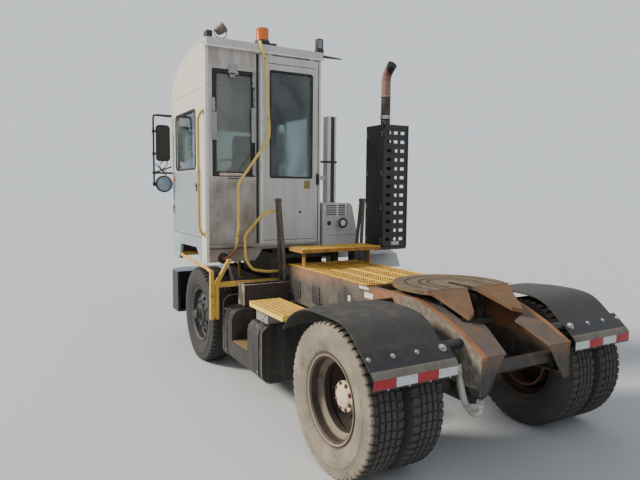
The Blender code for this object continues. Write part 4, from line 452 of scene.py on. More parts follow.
def cloth(name, colour):
    s = Shader(name, 0.95)
    weave = s.add("TexWave", {"Scale": 220.0, "Vector": s.place})
    s.bump(weave.outputs["Fac"], 0.3, 0.001)
    s.shader.inputs["Sheen Weight"].default_value = 0.2
    s.finish(s.mix(s.noise(8.0), shade(colour, 0.7), shade(colour, 1.3)))


def make_finishes():
    """Fill FINISHES with every material."""
    cab_paint("cab")
    # Painted shade: the rear wall takes a darker, cooler copy of the cab paint; its brown grime on top is
    # real dirt.
    cab_paint("cab_rear_shaded", (0.55, 0.54, 0.54), rear_wall_grime)
    # Painted sunlight: the side walls, nose and side door take a brighter, warmer copy of the cab paint.
    cab_paint("cab_side_sunlit", (0.76, 0.72, 0.6), side_wall_shadow_and_paint)
    # Brighter copy of the cab paint: a painted highlight on the rear corner trims, door edges and duct edges;
    # real white on the cowl bars and frame tags.
    worn("cab_white_and_highlight", (0.8, 0.79, 0.74), (0.3, 0.24, 0.17), 0.4, tone=0.04, streaks=0.25, spots=0.35)
    worn("yellow", (0.7, 0.44, 0.07), (0.24, 0.16, 0.07), 0.55, streaks=0.35, spots=0.45, wear=0.55)
    worn("rail", (0.86, 0.62, 0.14), (0.38, 0.25, 0.08), 0.45, streaks=0.25, spots=0.4, wear=0.35,
         bare=(0.3, 0.14, 0.07), extra=rail_foot)
    worn("tube", (0.82, 0.57, 0.12), (0.38, 0.25, 0.08), 0.45, streaks=0.35, spots=0.45, wear=0.45,
         bare=(0.3, 0.14, 0.07))
    worn("plank", (0.92, 0.66, 0.1), (0.45, 0.25, 0.08), 0.55, streaks=0.2, spots=0.35, wear=0.3, lumps=0.3,
         extra=plank_stripes)
    worn("groove", (0.27, 0.16, 0.07), (0.14, 0.09, 0.05), 0.8, spots=0.6, lumps=0.4)
    for name, extra in (("bumper", bumper_top_sky_reflection), ("black", None)):
        worn(name, (0.014, 0.014, 0.016), (0.085, 0.072, 0.06), 0.42, streaks=0.3, spots=0.25, extra=extra)
    worn("yellow_deck", (0.94, 0.58, 0.07), (0.45, 0.24, 0.07), 0.6, streaks=0.2, spots=0.5, wear=0.4,
         lumps=0.4)
    worn("deck_base", (0.42, 0.21, 0.035), (0.16, 0.085, 0.04), 0.7, tone=0.3, streaks=0.4, spots=0.6,
         wear=0.5, lumps=0.5)
    worn("frame", (0.045, 0.042, 0.04), (0.17, 0.135, 0.1), 0.75, streaks=0.55, spots=0.55, lumps=0.5,
         extra=frame_rust)
    worn("chassis", (0.035, 0.033, 0.032), (0.15, 0.12, 0.09), 0.8, streaks=0.3, spots=0.6, lumps=0.5)
    worn("iron", (0.075, 0.07, 0.065), (0.18, 0.13, 0.09), 0.7, 0.3, spots=0.6, lumps=0.6)
    worn("tank", (0.018, 0.017, 0.017), (0.105, 0.088, 0.07), 0.5, streaks=0.6, spots=0.45, lumps=0.3)
    worn("rubber", (0.032, 0.03, 0.028), (0.095, 0.08, 0.064), 0.6, tone=0.25, streaks=0.75, spots=0.25,
         lumps=0.2)
    worn("bolt", (0.17, 0.15, 0.135), (0.1, 0.06, 0.04), 0.6, 0.5, spots=0.5, lumps=0.2)
    worn("tank_rim", (0.17, 0.155, 0.14), (0.05, 0.045, 0.04), 0.6, streaks=0.5, spots=0.7)
    worn("seal", (0.012, 0.012, 0.012), (0.1, 0.09, 0.08), 0.7, spots=0.4)
    worn("plate", (0.15, 0.108, 0.062), (0.07, 0.052, 0.034), 0.7, 0.1, tone=0.3, streaks=0.5, spots=0.6,
         wear=0.4, bare=(0.3, 0.24, 0.18), lumps=0.5, extra=plate_rust)
    worn("grease", (0.018, 0.014, 0.011), (0.05, 0.036, 0.026), 0.9, spots=0.3)
    worn("rust", (0.15, 0.075, 0.042), (0.12, 0.055, 0.03), 0.9, tone=0.3, spots=0.6, lumps=0.6)
    worn("pipe", (0.085, 0.068, 0.06), (0.03, 0.028, 0.026), 0.6, 0.6, spots=0.5, extra=stack_heat)
    worn("steel", (0.42, 0.4, 0.38), (0.16, 0.12, 0.09), 0.4, 0.85, spots=0.4, lumps=0.2)
    worn("rim_dark", (0.035, 0.036, 0.04), (0.12, 0.1, 0.08), 0.55, 0.2, spots=0.7, lumps=0.3)
    worn("rim", (0.06, 0.045, 0.036), (0.025, 0.02, 0.017), 0.7, 0.1, tone=0.2, streaks=0.5, spots=0.7,
         lumps=0.4, extra=rim_lip)
    worn("hub", (0.68, 0.58, 0.42), (0.26, 0.17, 0.1), 0.65, 0.1, spots=0.6, lumps=0.4)
    tyre_rubber("tyre", (0.15, 0.13, 0.11), 0.55)
    tyre_rubber("tyre_dusty_sunlit_wall", (0.13, 0.11, 0.09), 0.5, 1.195)
    glass("glass", (0.46, 0.56, 0.58))
    glass("glass_hazy", (0.42, 0.47, 0.44), 0.22)
    # Mirror glass as flat colour, a painted reflection: dark grey-green on the tall mirrors, pale sky blue on
    # the round ones.
    worn("mirror", (0.035, 0.045, 0.034), (0.09, 0.08, 0.06), 0.12, spots=0.2, lumps=0.0)
    worn("mirror_sky_reflection", (0.27, 0.36, 0.44), (0.2, 0.2, 0.19), 0.1, spots=0.2, lumps=0.0)
    worn("can", (0.19, 0.16, 0.125), (0.07, 0.06, 0.05), 0.5, 0.3, spots=0.5, lumps=0.2)
    worn("dust", (0.2, 0.18, 0.15), (0.09, 0.075, 0.06), 0.8, spots=0.6, lumps=0.3)
    clear_plastic("amber", (0.95, 0.24, 0.02), 0.35)
    clear_plastic("lens", (0.85, 0.87, 0.88))
    worn("lens_dim", (0.27, 0.28, 0.3), (0.12, 0.11, 0.1), 0.2, spots=0.5, lumps=0.1)
    flat_print("red", (0.36, 0.01, 0.018))
    flat_print("white", (0.6, 0.62, 0.64))
    flat_print("label", (0.27, 0.23, 0.035), 0.6)
    worn("tape", (0.36, 0.34, 0.37), (0.15, 0.13, 0.13), 0.4, 0.2, spots=0.5, grain=40.0, lumps=0.6)
    worn("plastic", (0.02, 0.02, 0.021), (0.09, 0.08, 0.07), 0.55, spots=0.3, grain=200.0, lumps=0.2)
    cloth("seat", (0.035, 0.035, 0.04))


# Mesh tools: each adds to an open bmesh, in the vehicle frame

AXES = {"X": (Vector((1, 0, 0)), Vector((0, 1, 0)), Vector((0, 0, 1))),
        "Y": (Vector((0, 1, 0)), Vector((0, 0, 1)), Vector((1, 0, 0))),
        "Z": (Vector((0, 0, 1)), Vector((1, 0, 0)), Vector((0, 1, 0)))}


def round_places(count, radius, start=0.5):
    """Places evenly round a circle, as pairs."""
    turns = [2 * math.pi * (k + start) / count for k in range(count)]
    return [(radius * math.cos(a), radius * math.sin(a)) for a in turns]


def add_rings(work, rings, around=True, along=False):
    """Skin rings of points. around closes each ring, along joins the last ring to the first."""
    made = [[work.verts.new(p) for p in ring] for ring in rings]
    pairs = list(zip(made, made[1:])) + ([(made[-1], made[0])] if along else [])
    for first, second in pairs:
        count = len(first)
        for k in range(count if around else count - 1):
            n = (k + 1) % count
            work.faces.new((first[k], first[n], second[n], second[k]))
    if not along:
        work.faces.new(made[0][::-1])
        work.faces.new(made[-1])


def add_turned(work, profile, centre, axis="Y", side=1, sides=48, closed=False):
    """Turn (radius, offset) pairs about an axis. A closed profile makes a ring."""
    along, u, v = AXES[axis]
    centre = Vector(centre)
    rings = []
    for a, b in round_places(sides, 1.0, 0):
        spoke = u * a + v * b
        rings.append([centre + spoke * radius + along * (offset * side) for radius, offset in profile])
    made = [[work.verts.new(p) for p in ring] for ring in rings]
    count = len(profile)
    for k in range(sides):
        n = (k + 1) % sides
        for i in range(count if closed else count - 1):
            j = (i + 1) % count
            work.faces.new((made[k][i], made[k][j], made[n][j], made[n][i]))
    if not closed:
        for i in (0, count - 1):
            if profile[i][0] > 0:
                work.faces.new([ring[i] for ring in made])


def add_box(work, low, high, bevel=0.0):
    """A box by two corners, its edges rounded by bevel."""
    low, high = Vector(low), Vector(high)
    made = bmesh.ops.create_cube(work, size=1.0)["verts"]
    for vert in made:
        vert.co = Vector([low[i] + (high[i] - low[i]) * (vert.co[i] + 0.5) for i in range(3)])
    if bevel:
        edges = list({edge for vert in made for edge in vert.link_edges})
        bmesh.ops.bevel(work, geom=edges, offset=bevel, segments=2, profile=0.6, affect="EDGES",
                        clamp_overlap=True)


def add_prism(work, outline, axis, low, high):
    """An outline of the other two coordinates in XYZ order, extruded along an axis."""
    place = {"X": lambda a, b, c: (c, a, b), "Y": lambda a, b, c: (a, c, b),
             "Z": lambda a, b, c: (a, b, c)}[axis]
    add_rings(work, [[Vector(place(a, b, level)) for a, b in outline] for level in (low, high)])


def add_tube(work, path, radius, sides=10):
    """A round bar along a path."""
    path = [Vector(p) for p in path]
    rings = []
    normal = None
    for i, point in enumerate(path):
        before = point - path[i - 1] if i else path[1] - point
        after = path[i + 1] - point if i + 1 < len(path) else before
        way = (before.normalized() + after.normalized()).normalized()
        if normal is None:
            normal = way.orthogonal().normalized()
        normal = (normal - way * normal.dot(way)).normalized()
        across = way.cross(normal)
        rings.append([point + normal * a + across * b for a, b in round_places(sides, radius, 0)])
    add_rings(work, rings)


def add_bolt(work, place, way, size=0.012):
    """A hex head on a washer, pointing along way."""
    place, way = Vector(place), Vector(way).normalized()
    u = way.orthogonal().normalized()
    v = way.cross(u)
    for sides, radius, low, high in ((12, size * 1.5, 0.0, size * 0.25), (6, size, size * 0.2, size * 1.0)):
        rings = []
        for level, grow in ((low, 1.0), (high * 0.85, 1.0), (high, 0.88)):
            spokes = round_places(sides, radius * grow, 0)
            rings.append([place + way * level + u * a + v * b for a, b in spokes])
        add_rings(work, rings)


def arc_points(centre, radius, start, end, steps):
    """Points of an arc in degrees, as pairs."""
    turns = [math.radians(start + (end - start) * k / steps) for k in range(steps + 1)]
    return [(centre[0] + radius * math.cos(a), centre[1] + radius * math.sin(a)) for a in turns]


def round_corners(low, high, radius, steps=5):
    """A rectangle's outline with round corners, as pairs from its low and high corner."""
    (a0, b0), (a1, b1) = low, high
    corners = ((a1 - radius, b1 - radius, 0), (a0 + radius, b1 - radius, 90),
               (a0 + radius, b0 + radius, 180), (a1 - radius, b0 + radius, 270))
    return [p for a, b, start in corners for p in arc_points((a, b), radius, start, start + 90, steps)]


def smooth_path(points, steps=6):
    """A smooth curve through the points."""
    points = [Vector(p) for p in points]
    ends = [points[0] * 2 - points[1]] + points + [points[-1] * 2 - points[-2]]
    path = []
    for p, q, r, s in zip(ends, ends[1:], ends[2:], ends[3:]):
        for k in range(steps):
            t = k / steps
            path.append(0.5 * (2 * q + (r - p) * t + (2 * p - 5 * q + 4 * r - s) * t * t
                               + (3 * q - p - 3 * r + s) * t ** 3))
    return path + [points[-1]]


def add_hose(work, points, radius, sides=8):
    """A round bar along a smooth curve through the points."""
    add_tube(work, smooth_path(points), radius, sides)


def closed(name, work):
    """Close a bmesh into an object of the scene."""
    bmesh.ops.recalc_face_normals(work, faces=work.faces)
    mesh = bpy.data.meshes.new(name)
    work.to_mesh(mesh)
    work.free()
    mesh.transform(Matrix.Translation(at(0, 0, 0)))
    return put(name, mesh)


def piece(name, body, finish, work, angle=35):
    """Close a bmesh into a piece of the scene that rides on a body."""
    made = closed(name, work)
    made.data.materials.append(FINISHES[finish])
    made.data.shade_smooth()
    made.data.set_sharp_from_angle(angle=math.radians(angle))
    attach(made, body)
    return made


def bake(made):
    """Turn what the modifiers of a piece show into its mesh."""
    graph = bpy.context.evaluated_depsgraph_get()
    graph.update()
    mesh = bpy.data.meshes.new_from_object(made.evaluated_get(graph))
    made.modifiers.clear()
    made.data = mesh


def cut_holes(made, holes):
    """Cut the bmesh holes out of a piece."""
    tool = closed("holes", holes)
    cutter = made.modifiers.new("holes", "BOOLEAN")
    cutter.object = tool
    bake(made)
    made.data.set_sharp_from_angle(angle=math.radians(35))
    bpy.data.objects.remove(tool)


# Wheels

FRONT_Y = 1.055
REAR_Y = 1.081           # middle of the outer rear tyre
TWIN_PITCH = 0.32
BORE_R = 0.286
BEAD = 0.1
TYRE_HALF = 0.139
TREAD_HALF = 0.104
LUG_STEPS = 54           # tread blocks round a tyre


def tyre_side():
    """Half of a tyre's section from the bead to the shoulder, as (radius, offset)."""
    return [(BORE_R + 0.002, BEAD - 0.012), (BORE_R + 0.004, BEAD), (BORE_R + 0.021, BEAD + 0.002),
            (BORE_R + 0.027, BEAD + 0.006), (BORE_R + 0.03, BEAD + 0.004), (BORE_R + 0.06, BEAD + 0.024),
            (BORE_R + 0.064, BEAD + 0.024), (BORE_R + 0.09, TYRE_HALF - 0.003), (BORE_R + 0.12, TYRE_HALF),
            (BORE_R + 0.15, TYRE_HALF - 0.001), (BORE_R + 0.153, TYRE_HALF - 0.004),
            (BORE_R + 0.19, TYRE_HALF - 0.008), (TYRE_R - 0.034, TYRE_HALF - 0.013)]


def add_tyre(work, x, y, side):
    """Tyre with four grooves round the tread and shoulder blocks split by cross grooves."""
    grooves = (-0.066, -0.023, 0.023, 0.066)
    wide, deep = 0.006, 0.013
    across = [(TYRE_R - 0.034, -TYRE_HALF + 0.013), (TYRE_R - 0.012, -TREAD_HALF - 0.018),
              (TYRE_R - 0.002, -TREAD_HALF)]
    for middle in grooves:
        across += [(TYRE_R, middle - wide), (TYRE_R - deep, middle - wide + 0.002),
                   (TYRE_R - deep, middle + wide - 0.002), (TYRE_R, middle + wide)]
    across += [(TYRE_R - 0.002, TREAD_HALF), (TYRE_R - 0.012, TREAD_HALF + 0.018),
               (TYRE_R - 0.034, TYRE_HALF - 0.013)]
    flank = tyre_side()
    section = [(r, -o) for r, o in flank[:-1]] + across + flank[:-1][::-1]
    ribs_end = 0.07          # offset from the tyre's middle where the shoulder starts
    shoulder_cut, rib_cut = 0.011, 0.007
    shoulder = {i for i, (r, o) in enumerate(section) if abs(o) > ribs_end and r > TYRE_R - 0.03}
    rib = {i for i, (r, o) in enumerate(section) if abs(o) <= ribs_end and r > TYRE_R - 0.001}
    rings = []
    for k in range(LUG_STEPS):
        for share, cut_shoulder, cut_rib in ((0.0, 0, 0), (0.62, 0, 0), (0.66, 1, 1), (0.74, 1, 1),
                                             (0.78, 1, 0), (0.96, 1, 0)):
            angle = 2 * math.pi * (k + share) / LUG_STEPS
            ring = []
            for i, (radius, offset) in enumerate(section):
                drop = shoulder_cut * cut_shoulder * (i in shoulder) + rib_cut * cut_rib * (i in rib)
                reach = radius - drop
                ring.append(Vector((x + reach * math.cos(angle), y + side * offset,
                                    TYRE_R + reach * math.sin(angle))))
            rings.append(ring)
    add_rings(work, rings, along=True)


def make_tyres():
    places = []
    for word, side in SIDES:
        places.append(("front_" + word, WHEELBASE, FRONT_Y, side, "wheel_front_" + word))
        for row, y in (("outer", REAR_Y), ("inner", REAR_Y - TWIN_PITCH)):
            places.append(("rear_%s_%s" % (word, row), 0, y, side, "wheels_rear_" + word))
    for name, x, y, side, body in places:
        work = bmesh.new()
        add_tyre(work, x, side * y, side)
        pale = "outer" in name
        made = piece("tread_" + name, body, "tyre_dusty_sunlit_wall" if pale else "tyre", work, 40)
        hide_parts("tyre_" + name)


def rim_bed(middle, thick):
    """The dropped centre, bead seats and lips of a rim, outer face then inner face, as (radius, offset)."""
    seat, lip, well = BORE_R - 0.001, BORE_R + 0.018, BORE_R - 0.04
    outer = [(lip, middle + BEAD + 0.012), (lip + 0.002, middle + BEAD + 0.006),
             (lip - 0.004, middle + BEAD + 0.001), (seat, middle + BEAD), (seat - 0.004, middle + 0.04),
             (well, middle + 0.015), (well, middle - 0.035), (seat - 0.004, middle - 0.055),
             (seat, middle - BEAD), (lip - 0.004, middle - BEAD - 0.001),
             (lip + 0.002, middle - BEAD - 0.006), (lip, middle - BEAD - 0.012)]
    inner = [(r - thick, o) for r, o in ((lip, middle - BEAD - 0.01), (seat, middle - BEAD + 0.004),
                                         (seat - 0.004, middle - 0.055), (well, middle - 0.035),
                                         (well, middle + 0.015), (seat - 0.004, middle + 0.04),
                                         (seat, middle + BEAD - 0.004), (lip, middle + BEAD + 0.01))]
    return outer + inner


def add_nuts(work, x, y, side):
    """Ten wheel nuts, each with the end of its stud."""
    for a, b in round_places(10, 0.143):
        place = (x + a, y, TYRE_R + b)
        add_bolt(work, place, (0, side, 0), 0.014)
        add_tube(work, [Vector(place), Vector(place) + Vector((0, side * 0.026, 0))], 0.008, 8)


def hand_holes(x, y, side, low, high, circle):
    """Eight round holes through a wheel disc, from low to high beyond y."""
    holes = bmesh.new()
    for a, b in round_places(8, circle):
        add_tube(holes, [(x + a, y + side * reach, TYRE_R + b) for reach in (low, high)], 0.026, 20)
    return holes


def make_front_wheel(word, side):
    """Steel disc wheel, domed out, with its hub, oil cap and nuts."""
    body, y = "wheel_front_" + word, side * FRONT_Y
    centre = (WHEELBASE, y, TYRE_R)
    work = bmesh.new()
    add_turned(work, rim_bed(0, 0.008), centre, "Y", side, 96, closed=True)
    disc = [(0.246, 0.03), (0.24, 0.046), (0.2, 0.076), (0.165, 0.088), (0.115, 0.09), (0.115, 0.082),
            (0.163, 0.08), (0.196, 0.067), (0.232, 0.036), (0.246, 0.02)]
    add_turned(work, disc, centre, "Y", side, 96, closed=True)
    made = piece("wheel_disc_front_" + word, body, "rim_dark", work)
    cut_holes(made, hand_holes(WHEELBASE, y, side, 0.03, 0.11, 0.196))
    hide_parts("rim_front_" + word)
    work = bmesh.new()
    hub = [(0.0, 0.168), (0.04, 0.166), (0.052, 0.158), (0.055, 0.13), (0.066, 0.126), (0.07, 0.108),
           (0.112, 0.1), (0.114, -0.055), (0.052, -0.06), (0.0, -0.06)]
    add_turned(work, hub, centre, "Y", side, 48)
    add_nuts(work, WHEELBASE, y + side * 0.088, side)
    for a, b in round_places(6, 0.061, 0):
        add_bolt(work, (WHEELBASE + a, y + side * 0.126, TYRE_R + b), (0, side, 0), 0.006)
    piece("hub_front_" + word, body, "rim_dark", work)


def make_rear_wheels(word, side):
    """Twin discs bolted face to face, deeply dished, with the drum behind and the axle flange in front."""
    body = "wheels_rear_" + word
    middle = side * (REAR_Y - TWIN_PITCH / 2)
    centre = (0, middle, TYRE_R)
    work = bmesh.new()
    for way in (1, -1):
        bed = [(r, o * way) for r, o in rim_bed(TWIN_PITCH / 2, 0.008)]
        add_turned(work, bed, centre, "Y", side, 96, closed=True)
        disc = [(0.244, 0.11), (0.238, 0.06), (0.215, 0.022), (0.18, 0.01), (0.1, 0.01), (0.1, 0.001),
                (0.184, 0.001), (0.222, 0.013), (0.246, 0.056), (0.252, 0.11)]
        add_turned(work, [(r, o * way) for r, o in disc], centre, "Y", side, 96, closed=True)
    made = piece("wheel_discs_rear_" + word, body, "rim", work)
    cut_holes(made, hand_holes(0, middle, side, -0.06, 0.06, 0.2))
    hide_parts("rims_rear_" + word)
    work = bmesh.new()
    hub = [(0.0, 0.172), (0.06, 0.172), (0.078, 0.166), (0.084, 0.158), (0.104, 0.156), (0.108, 0.148),
           (0.104, 0.138), (0.098, 0.06), (0.106, 0.02), (0.106, 0.01), (0.0, 0.01)]
    add_turned(work, hub, centre, "Y", side, 64)
    piece("hub_rear_" + word, body, "hub", work)
    work = bmesh.new()
    for a, b in round_places(8, 0.088):
        add_bolt(work, (a, middle + side * 0.157, TYRE_R + b), (0, side, 0), 0.012)
    add_nuts(work, 0, middle + side * 0.01, side)
    drum = [(0.075, -0.012), (0.185, -0.014), (0.198, -0.03), (0.2, -0.225), (0.208, -0.228),
            (0.208, -0.238), (0.19, -0.238), (0.188, -0.04), (0.075, -0.03)]
    add_turned(work, drum, centre, "Y", side, 64, closed=True)
    piece("nuts_rear_" + word, body, "rust", work)


def make_wheels():
    make_tyres()
    for word, side in SIDES:
        make_front_wheel(word, side)
        make_rear_wheels(word, side)


# Mudguards

def tyre_round(table):
    """Side-view points round the rear wheel, from angle in degrees and clearance outside the tyre."""
    return [((TYRE_R + clear) * math.cos(math.radians(angle)),
             TYRE_R + (TYRE_R + clear) * math.sin(math.radians(angle))) for angle, clear in table]


def make_mudguard(word, side):
    """Rubber sheet over the twin tyres, bolted to a folded steel plate with stripes at the tail."""
    guide = tyre_round(((150.5, 0.1), (141, 0.078), (132.6, 0.066), (111.4, 0.077), (84.1, 0.063),
                        (59, 0.134), (40.3, 0.209), (27.6, 0.242)))
    path = [(p.x, p.z) for p in smooth_path([(x, 0, z) for x, z in guide], 8)]
    inner, outer = side * 0.59, side * 1.213
    thick = 0.009
    work = bmesh.new()
    columns = 14
    rings = []
    for skin in (0, -thick):
        for column in (range(columns + 1) if skin == 0 else range(columns, -1, -1)):
            share = column / columns
            y = inner + (outer - inner) * share
            sag = 0.01 * math.sin(math.pi * share) - 0.016 * max(0.0, share - 0.8) * 5
            line = []
            for i, (x, z) in enumerate(path):
                ripple = 0.0025 * math.sin(9.0 * x + 14.0 * y)
                line.append(Vector((x, y, z + skin + (sag + ripple) * (0.3 + 0.7 * i / len(path)))))
            rings.append(line)
    add_rings(work, rings, around=False, along=True)
    bmesh.ops.holes_fill(work, edges=[edge for edge in work.edges if edge.is_boundary], sides=0)
    made = piece("mudguard_sheet_" + word, "chassis", "rubber", work)
    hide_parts("mudguard_" + word)
    work = bmesh.new()
    y0, y1 = sorted((side * 0.571, side * 1.224))
    face = [(-0.5575, 0.757), (-0.5625, 0.757), (-0.5625, 0.832), (-0.55, 0.852), (-0.43, 0.958),
            (-0.426, 0.953), (-0.546, 0.846), (-0.5575, 0.83)]
    add_prism(work, face, "Y", y0, y1)
    add_tube(work, [(-0.546, y0 + 0.01, 0.764), (-0.546, y1 - 0.01, 0.764)], 0.01, 8)
    for (x, z), radius, end in (((-0.425, 0.92), 0.032, 0.64), ((0.339, 1.078), 0.016, 0.63)):
        add_tube(work, [(x, side * (FRAME_OUT + 0.001), z), (x, side * end, z)], radius, 20)
    piece("mudguard_plate_" + word, "chassis", "black", work)
    work = bmesh.new()
    fold = [(-0.564, 0.8265), (-0.564, 0.833), (-0.552, 0.8535), (-0.533, 0.87), (-0.531, 0.8675),
            (-0.55, 0.851), (-0.562, 0.832), (-0.562, 0.8265)]
    add_prism(work, fold, "Y", y0 + 0.002, y1 - 0.002)
    piece("mudguard_fold_" + word, "chassis", "dust", work)
    work = bmesh.new()
    slope = Vector((-0.66, 0, 0.75))
    for y in (0.835, 1.02, 1.2):
        add_bolt(work, (-0.468, side * y, 0.925), slope, 0.011)
    for y in (0.64, 0.8, 0.96, 1.12):
        add_bolt(work, (-0.5625, side * y, 0.7615), (-1, 0, 0), 0.005)
    add_bolt(work, (-0.47, side * 0.628, 0.924), slope, 0.019)
    piece("mudguard_bolts_" + word, "chassis", "steel", work)
    wide = 0.1625
    for finish, start in (("red", 0), ("white", 1)):
        work = bmesh.new()
        for k in range(start, 4, 2):
            y0, y1 = sorted((side * (1.222 - wide * k), side * (1.222 - wide * (k + 1) + 0.003)))
            add_box(work, (-0.565, y0, 0.768), (-0.562, y1, 0.8255), 0.0006)
        piece("stripes_%s_%s" % (finish, word), "chassis", finish, work)


# Cab

REAR_WINDOW = ((0.67, 2.06), (1.15, 3.165))       # low and high corners as (y, z)
DOOR_GLASS = ((0.007, 2.065), (0.51, 3.19))
SIDE_WINDOW = ((2.85, 2.15), (3.63, 2.78))       # as (x, z)
RIGHT_WINDOW = ((2.75, 1.95), (3.63, 2.78))
DOOR_FACE_X = CAB_X - 0.044
MIRROR_X = CAB_X + 1.355


def grow(corners, by):
    (a0, b0), (a1, b1) = corners
    return (a0 - by, b0 - by), (a1 + by, b1 + by)


def add_gasket(work, corners, axis, level, width=0.02, proud=0.008, radius=0.035, wobble=0.0, inward=0.35):
    """A rubber strip round an opening: a closed loop with a flat, round-edged section."""
    outward = 1 - inward
    inner = round_corners(*grow(corners, -width * inward), max(0.004, radius - width * inward), 6)
    outer = round_corners(*grow(corners, width * outward), radius + width * outward, 6)
    chance = random.Random(4)
    rings = []
    for (a, b), (c, d) in zip(inner, outer):
        shift = wobble * (chance.random() - 0.5)
        ring = []
        for share, height in ((0.0, 0.0), (0.1, 0.8), (0.35, 1.0), (0.7, 0.9), (1.0, 0.0)):
            p, q = a + (c - a) * share + shift, b + (d - b) * share + shift
            off = level + proud * height
            ring.append(Vector((off, p, q)) if axis == "X" else Vector((p, off, q)))
        rings.append(ring)
    add_rings(work, rings, along=True)


def make_window_seals():
    for name, body, *gasket in (
            ("rear_window", "cab", REAR_WINDOW, "X", CAB_X + 0.0155, 0.062, -0.0185, 0.045, 0.012, 0.84),
            ("rear_door", "door_rear", DOOR_GLASS, "X", DOOR_FACE_X - 0.0005, 0.022, -0.006, 0.012),
            ("side_window", "door_side", SIDE_WINDOW, "Y", CAB_LEFT + 0.0005, 0.024, 0.008, 0.05),
            ("right_window", "cab", RIGHT_WINDOW, "Y", CAB_RIGHT - 0.0005, 0.024, -0.008, 0.05)):
        work = bmesh.new()
        add_gasket(work, *gasket)
        piece("seal_" + name, body, "seal", work)


def make_tape():
    """Lilac-grey tape and a crumpled patch that mend the rear window's seal, and the bare sill below."""
    patches = (  # y low, y high, z low, z high, steps, unevenness
        (1.115, 1.163, 2.73, 2.865, 5, 0.014), (1.1, 1.159, 2.435, 2.722, 8, 0.005),
        (0.667, 0.719, 3.004, 3.169, 9, 0.022), (0.68, 0.702, 2.8, 3.0, 8, 0.01),
        (0.662, 0.72, 2.424, 2.792, 8, 0.004), (0.663, 0.716, 2.075, 2.237, 6, 0.016),
        (0.857, 0.996, 3.117, 3.222, 9, 0.036), (0.9, 0.96, 3.085, 3.13, 4, 0.012))
    chance = random.Random(7)
    work = bmesh.new()
    for y0, y1, z0, z1, steps, rough in patches:
        left = [(y0 + rough * chance.random(), z0 + (z1 - z0) * k / steps) for k in range(steps + 1)]
        right = [(y1 - rough * chance.random(), z0 + (z1 - z0) * k / steps) for k in range(steps + 1)]
        add_prism(work, left + right[::-1], "X", CAB_X - 0.0135, CAB_X - 0.012)
    piece("seal_tape", "cab", "tape", work)
    work = bmesh.new()
    add_box(work, (CAB_X - 0.0145, 0.822, 2.07), (CAB_X - 0.001, 1.077, 2.098), 0.002)
    piece("window_sill", "cab", "hub", work)


def make_rear_face():
    """Corner trims, rivets, slot and gaps of the rear wall, and the rear door's edges, latch and plug."""
    work = bmesh.new()
    foot, top, thick = 1.158, 3.372, 0.003
    # The trims are brighter than the wall: a painted highlight on the sunlit corner edges.
    for y0, y1, z0, x0, x1 in ((CAB_LEFT - 0.03, CAB_LEFT + thick, foot, -thick, 0.0),
                               (CAB_LEFT, CAB_LEFT + thick, foot, 0.0, 0.034),
                               (CAB_RIGHT - thick, CAB_RIGHT + 0.02, 1.28, -thick, 0.0)):
        add_box(work, (CAB_X + x0, y0, z0), (CAB_X + x1, y1, top), 0.001)
    add_box(work, (CAB_X - 0.055, CAB_RIGHT, 3.366), (CAB_X - 0.05, CAB_LEFT, 3.386), 0.001)
    piece("corner_trims", "cab", "cab_white_and_highlight", work)
    work = bmesh.new()
    face = DOOR_FACE_X
    # Bright strips on the door's edges; the one at its left edge is a painted highlight where the sun catches
    # it.
    for y0, y1, z0, z1 in ((0.6, 0.631, 1.342, 3.23), (-0.106, -0.082, 1.342, 3.348),
                           (-0.048, -0.04, 1.345, 3.34)):
        add_box(work, (face - 0.006, y0, z0), (face, y1, z1), 0.002)
    piece("door_edges", "door_rear", "cab_white_and_highlight", work)
    work = bmesh.new()
    for y0, y1, z0, z1 in ((-0.03, 0.585, 3.268, 3.274), (-0.03, 0.585, 1.372, 1.377)):
        add_box(work, (face - 0.0015, y0, z0), (face, y1, z1))
    add_box(work, (face - 0.006, -0.08, 1.345), (face, -0.075, 3.34), 0.001)
    piece("door_grooves", "door_rear", "seal", work)
    work = bmesh.new()
    add_box(work, (face - 0.024, -0.078, 1.99), (face - 0.004, -0.05, 2.11), 0.005)
    add_hose(work, [(face - 0.018, -0.064, 2.095), (face - 0.052, -0.058, 2.08),
                    (face - 0.054, -0.056, 2.0), (face - 0.02, -0.062, 1.985)], 0.006, 10)
    piece("door_latch", "door_rear", "plastic", work)
    work = bmesh.new()
    add_turned(work, [(0.0, -0.003), (0.012, -0.003), (0.015, 0.0), (0.0, 0.0)], (face, 0.15, 1.679), "X",
               1, 24)
    piece("door_plug", "door_rear", "plastic", work)
    work = bmesh.new()
    add_box(work, (face - 0.0012, 0.026, 1.941), (face - 0.0002, 0.101, 2.03), 0.0003)
    piece("door_label", "door_rear", "label", work)
    work = bmesh.new()
    add_box(work, (CAB_X - 0.004, 0.862, 2.036), (CAB_X + 0.001, 0.982, 2.046), 0.0015)
    add_turned(work, [(0.0, -0.002), (0.044, -0.002), (0.052, -0.008), (0.058, -0.006), (0.06, 0.0),
                      (0.0, 0.0)], (CAB_X, 1.04, 1.195), "X", 1, 32)
    add_box(work, (CAB_X - 0.002, 0.7, 1.296), (CAB_X + 0.001, CAB_LEFT - 0.035, 1.302))
    add_box(work, (CAB_X - 0.0015, 0.634, 1.345), (CAB_X + 0.001, 0.66, 3.36))
    piece("rear_gaps", "cab", "seal", work)
    work = bmesh.new()
    rivets = [(CAB_X - 0.052, CAB_RIGHT + 0.06 + k * 0.088, 3.408) for k in range(15)]
    rivets += [(CAB_X - 0.003, CAB_LEFT - 0.014, 1.42 + 0.19 * k) for k in range(10)]
    for rivet in rivets:
        add_turned(work, [(0.0, -0.0025), (0.003, -0.002), (0.005, 0.0), (0.0, 0.0)], rivet, "X", 1, 10)
    piece("rivets_rear", "cab", "steel", work)


